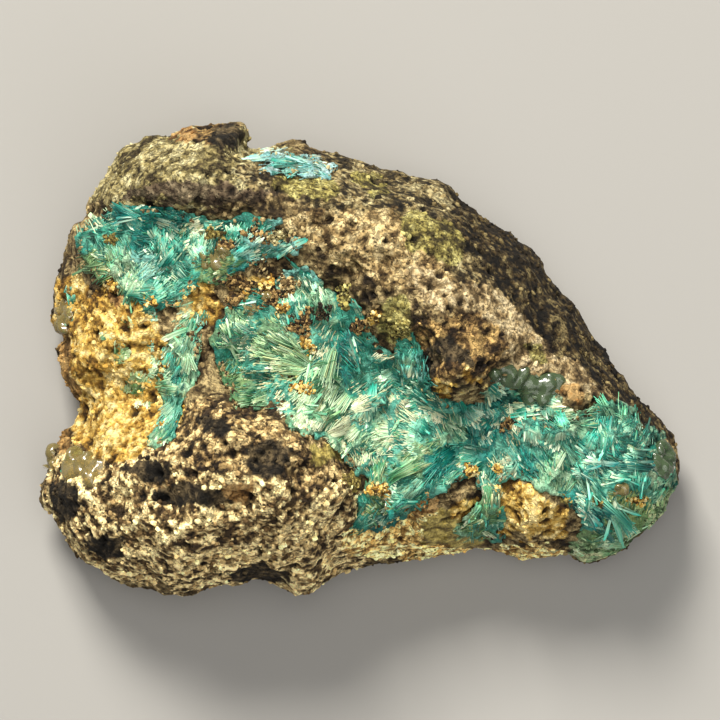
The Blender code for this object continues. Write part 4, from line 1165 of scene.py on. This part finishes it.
def buildCluster(name, look, top, shapes):
    made = []
    kindsOfPart = (("Masses", look["masses"], look["mass"]), ("Crystals", look["crystals"], crystalSizes))
    for (part, count, (least, most)), shape in zip(kindsOfPart, shapes):
        places = inPlaces(look["places"], count)
        level = top.at(places)
        inside = level > massShape["leastHigh"] * mm
        feet = heighted(places[inside], level[inside])
        share = chance.random(len(feet)) ** massShape["sizePower"]
        size = ((least + (most - least) * share) * mm)[:, None]
        along = unit(np.array([0, 0, 1.0]) + chance.normal(0, massShape["lean"], (len(feet), 3)))
        across, up = turned(along, chance.random(len(feet)) * math.tau)
        if part == "Masses":
            least, more = massShape["squash"]
            squash = least + more * chance.random((len(feet), 3))
            feet[:, 2] -= massShape["deep"] * size[:, 0]
            tall = along * size * squash[:, 2:] * massShape["flatness"]
            piece = joinedCopies(name + part, shape, feet, across * size * squash[:, :1],
                                 up * size * squash[:, 1:2], tall, flat=False)
            applied(piece, "REMESH", mode="VOXEL", voxel_size=massShape["voxel"] * mm, use_smooth_shade=True)
            points, out = pointsOf(piece), pointsOf(piece, "normal")
            rise = layered(softNoise, massShape["lumps"], points)
            setPoints(piece, points + out * (rise * mm)[:, None])
        else:
            feet[:, 2] -= massShape["crystalDeep"] * mm
            wide, thick, long = massShape["crystal"]
            piece = joinedCopies(name + part, shape, feet, across * size * wide, up * size * thick,
                                 along * size * long)
        setPoints(piece, np.clip(pointsOf(piece), boxLow, boxHigh))
        made.append(piece)
    selectOnly(made[0])
    made[1].select_set(True)
    bpy.ops.object.join()
    made[0].name = name
    return made[0]


# Materials
def nodeIn(tree, kind, inputs=None, **settings):
    made = tree.nodes.new(kind)
    for key, value in settings.items():
        setattr(made, key, value)
    for key, value in (inputs or {}).items():
        socket = made.inputs[key]
        if hasattr(value, "node"):
            tree.links.new(value, socket)
        else:
            socket.default_value = value
    return made


def fineGrainGroup():  # breaks up a colour with grain, dark winding seams and pits, and gives a height
    group = bpy.data.node_groups.new("fineGrain", "ShaderNodeTree")

    def maths(operation, first, second=0.0, clamp=False):
        values = {0: first, 1: second}
        return nodeIn(group, "ShaderNodeMath", values, operation=operation, use_clamp=clamp).outputs[0]

    for name, kind in (("Tone", "Color"), ("Specks", "Float"), ("Contrast", "Float")):
        group.interface.new_socket(name, in_out="INPUT", socket_type="NodeSocket" + kind)
    for name, kind in (("Tone", "Color"), ("Height", "Float")):
        group.interface.new_socket(name, in_out="OUTPUT", socket_type="NodeSocket" + kind)
    given = nodeIn(group, "NodeGroupInput").outputs
    place = nodeIn(group, "ShaderNodeTexCoord").outputs["Object"]
    look = {"Vector": place, "Scale": 3400.0, "Detail": 4.0, "Roughness": 0.7}
    fine = nodeIn(group, "ShaderNodeTexNoise", look).outputs["Fac"]
    look = {"Vector": place, "Scale": 950.0, "Detail": 4.0, "Roughness": 0.62, "Distortion": 0.6}
    worm = nodeIn(group, "ShaderNodeTexNoise", look).outputs["Fac"]
    holes = nodeIn(group, "ShaderNodeTexVoronoi", {"Vector": place, "Scale": 1150.0}).outputs["Distance"]
    offLine = maths("ABSOLUTE", maths("SUBTRACT", worm, 0.47))
    seam = maths("SUBTRACT", 1.0, maths("MULTIPLY", offLine, 14.0), clamp=True)
    hole = maths("MULTIPLY", maths("SUBTRACT", 0.3, holes), 9.0, clamp=True)
    dark = maths("MAXIMUM", maths("MULTIPLY", seam, 0.72), maths("MULTIPLY", hole, 0.9))
    dark = maths("MULTIPLY", dark, given["Specks"])
    grain = maths("MULTIPLY", maths("SUBTRACT", fine, 0.47), given["Contrast"])
    gain = maths("MULTIPLY", maths("ADD", grain, 1.4), maths("SUBTRACT", 1.0, dark))
    toned = nodeIn(group, "ShaderNodeVectorMath", {0: given["Tone"], "Scale": gain}, operation="SCALE")
    high = maths("SUBTRACT", maths("MULTIPLY", fine, 0.5), dark)
    end = nodeIn(group, "NodeGroupOutput")
    group.links.new(toned.outputs[0], end.inputs["Tone"])
    group.links.new(high, end.inputs["Height"])
    return group


def newMaterial(name):
    made = bpy.data.materials.new(name)
    made.use_nodes = True
    tree = made.node_tree
    return made, tree, tree.nodes["Principled BSDF"]


def setSockets(shader, **values):
    for key, value in values.items():
        shader.inputs[key.replace("_", " ")].default_value = value


def grained(tree, shader, grain, look):  # a painted tone, broken up by the fine grain, with its bumps
    tone = nodeIn(tree, "ShaderNodeAttribute", attribute_name=look["tone"])
    mixed = nodeIn(tree, "ShaderNodeGroup", node_tree=grain)
    tree.links.new(tone.outputs["Color"], mixed.inputs["Tone"])
    mixed.inputs["Contrast"].default_value = look["contrast"]
    tree.links.new(mixed.outputs["Tone"], shader.inputs["Base Color"])
    strength, deep = look["bump"]
    values = {"Strength": strength, "Distance": deep * mm, "Height": mixed.outputs["Height"]}
    tree.links.new(nodeIn(tree, "ShaderNodeBump", values).outputs[0], shader.inputs["Normal"])
    return mixed


def stoneMaterial(grain):
    made, tree, shader = newMaterial("limoniteStone")
    mixed = grained(tree, shader, grain, {"tone": "stoneTone", "contrast": 2.2, "bump": (0.9, 0.25)})
    sheen = nodeIn(tree, "ShaderNodeAttribute", attribute_name="stoneSheen")
    specks = nodeIn(tree, "ShaderNodeAttribute", attribute_name="stoneSpecks")
    tree.links.new(specks.outputs["Fac"], mixed.inputs["Specks"])
    rough = nodeIn(tree, "ShaderNodeMath", {0: 0.88, 1: sheen.outputs["Fac"]}, operation="SUBTRACT")
    tree.links.new(rough.outputs[0], shader.inputs["Roughness"])
    setSockets(shader, Specular_IOR_Level=0.27)
    return made


def fibreMaterial():
    made, tree, shader = newMaterial("aurichalciteFibre")
    tone = nodeIn(tree, "ShaderNodeAttribute", attribute_name="fibreTone")
    tree.links.new(tone.outputs["Color"], shader.inputs["Base Color"])
    setSockets(shader, Roughness=0.36, Specular_IOR_Level=0.5, Coat_Weight=0.15, Coat_Roughness=0.2)
    return made


def crustMaterial(grain):
    made, tree, shader = newMaterial("aurichalciteCrust")
    mixed = grained(tree, shader, grain, {"tone": "crustTone", "contrast": 1.8, "bump": (0.8, 0.3)})
    mixed.inputs["Specks"].default_value = 0.6
    setSockets(shader, Roughness=0.5)
    return made


def clearMaterial(name, tint, depth):  # tint of its skin, and of the light that has gone through it
    made, tree, shader = newMaterial(name)
    setSockets(shader, Base_Color=(*tint, 1), Roughness=0.2, IOR=1.61, Transmission_Weight=0.65)
    inside = nodeIn(tree, "ShaderNodeVolumeAbsorption", {"Color": (*depth, 1), "Density": 260.0})
    tree.links.new(inside.outputs[0], tree.nodes["Material Output"].inputs["Volume"])
    return made


def floorMaterial():
    made, _, shader = newMaterial("paleFloor")
    setSockets(shader, Base_Color=(0.315, 0.307, 0.295, 1), Roughness=0.8)
    return made


def dress(piece, material):
    piece.data.materials.clear()
    piece.data.materials.append(material)
    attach(piece, "root")


# The specimen
crustNames = {
    "aurichalcite_band": "aurichalciteBand",
    "aurichalcite_upper_patch": "aurichalciteUpperMat",
    "aurichalcite_left_plume": "aurichalcitePlumeMat",
    "aurichalcite_top_edge": "aurichalciteEdgeMat",
}
grainGroup = fineGrainGroup()
stoneFinish = stoneMaterial(grainGroup)
fibreFinish = fibreMaterial()
crustFinish = crustMaterial(grainGroup)
clearFinish = {
    "olive": clearMaterial("hemimorphiteOlive", (0.4, 0.32, 0.12), (0.8, 0.66, 0.34)),
    "grey": clearMaterial("hemimorphiteGrey", (0.13, 0.2, 0.1), (0.46, 0.68, 0.42)),
}

stone = buildStone()
dress(stone, stoneFinish)
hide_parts("limonite_matrix")
print("stone", len(stone.data.polygons), "faces")

crusts = []
for node, name in crustNames.items():
    crusts.append(buildCrust(node, name))
    dress(crusts[-1], crustFinish)
    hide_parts(node)
crustTop = HeightMap(crusts)
top = HeightMap([stone, *crusts])
print("heights mapped")

for piece in buildGrains(stone, crustTop):
    dress(piece, stoneFinish)
dress(buildIslands(top, crustTop), stoneFinish)
print("grains laid")

moulds = (needleMould(), lathMould())
fibreCount = 0
for name in [*fans, "aurichalciteMat"]:
    rows = fanFibres(fans[name]) if name in fans else matFibres(crustTop, fibre["mat"])
    for piece in layFibres(name, rows, top, crustTop, moulds):
        dress(piece, fibreFinish)
        fibreCount += len(piece.data.polygons)
print("fibres", fibreCount, "faces")

shapes = (shakenMould("massMould", 3, 0.03, 2), crystalMould())
for name, look in clusters.items():
    piece = buildCluster(name, look, top, shapes)
    dress(piece, clearFinish[look["finish"]])
    if look["node"]:
        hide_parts(look["node"])
print("clusters grown")

# Floor, lights and camera
studio = {
    "floor": 1.6,
    "worldTint": (1.0, 0.98, 0.94, 1),
    "worldPower": 0.195,
    "lens": 400,  # mm
    "sensor": 36,  # mm
    "frameWide": 720 * photo["pixel"],
    "rimHigh": 15 * mm,  # height at which the photograph's scale was read
    "key": {"place": (-0.3, 0.95, 0.95), "size": 0.45, "power": 35, "tint": (1.0, 0.96, 0.87)},
    "fill": {"place": (0.3, -0.35, 0.55), "size": 0.6, "power": 1.8, "tint": (1.0, 0.98, 0.94)},
    "top": {"place": (0.0, 0.05, 0.8), "size": 0.5, "power": 2.2, "tint": (1.0, 0.98, 0.93)},
}


def addLight(name, look):
    light = bpy.data.lights.new(name, "AREA")
    light.energy = look["power"]
    light.size = look["size"]
    light.color = look["tint"]
    lamp = bpy.data.objects.new(name, light)
    lamp.location = look["place"]
    lamp.rotation_euler = Vector(look["place"]).to_track_quat("Z", "Y").to_euler()
    bpy.context.scene.collection.objects.link(lamp)


for name in ("key", "fill", "top"):
    addLight(name, studio[name])

bpy.ops.object.select_all(action="DESELECT")
bpy.ops.mesh.primitive_plane_add(size=studio["floor"], location=(0, 0, 0))
floor = bpy.context.object
floor.name = "floor"
floor.data.materials.append(floorMaterial())

world = bpy.data.worlds.new("studio")
bpy.context.scene.world = world
world.use_nodes = True
sky = world.node_tree.nodes["Background"].inputs
sky["Color"].default_value = studio["worldTint"]
sky["Strength"].default_value = studio["worldPower"]

camera = bpy.data.objects.new("camera", bpy.data.cameras.new("camera"))
camera.data.lens = studio["lens"]
camera.data.sensor_width = studio["sensor"]
away = studio["frameWide"] * studio["lens"] / studio["sensor"]
camera.location = (*photo["shift"], studio["rimHigh"] + away)
camera.data.clip_end = 10
bpy.context.scene.collection.objects.link(camera)
bpy.context.scene.camera = camera
bpy.context.scene.view_settings.view_transform = "Standard"

print("floor, lights and camera placed")
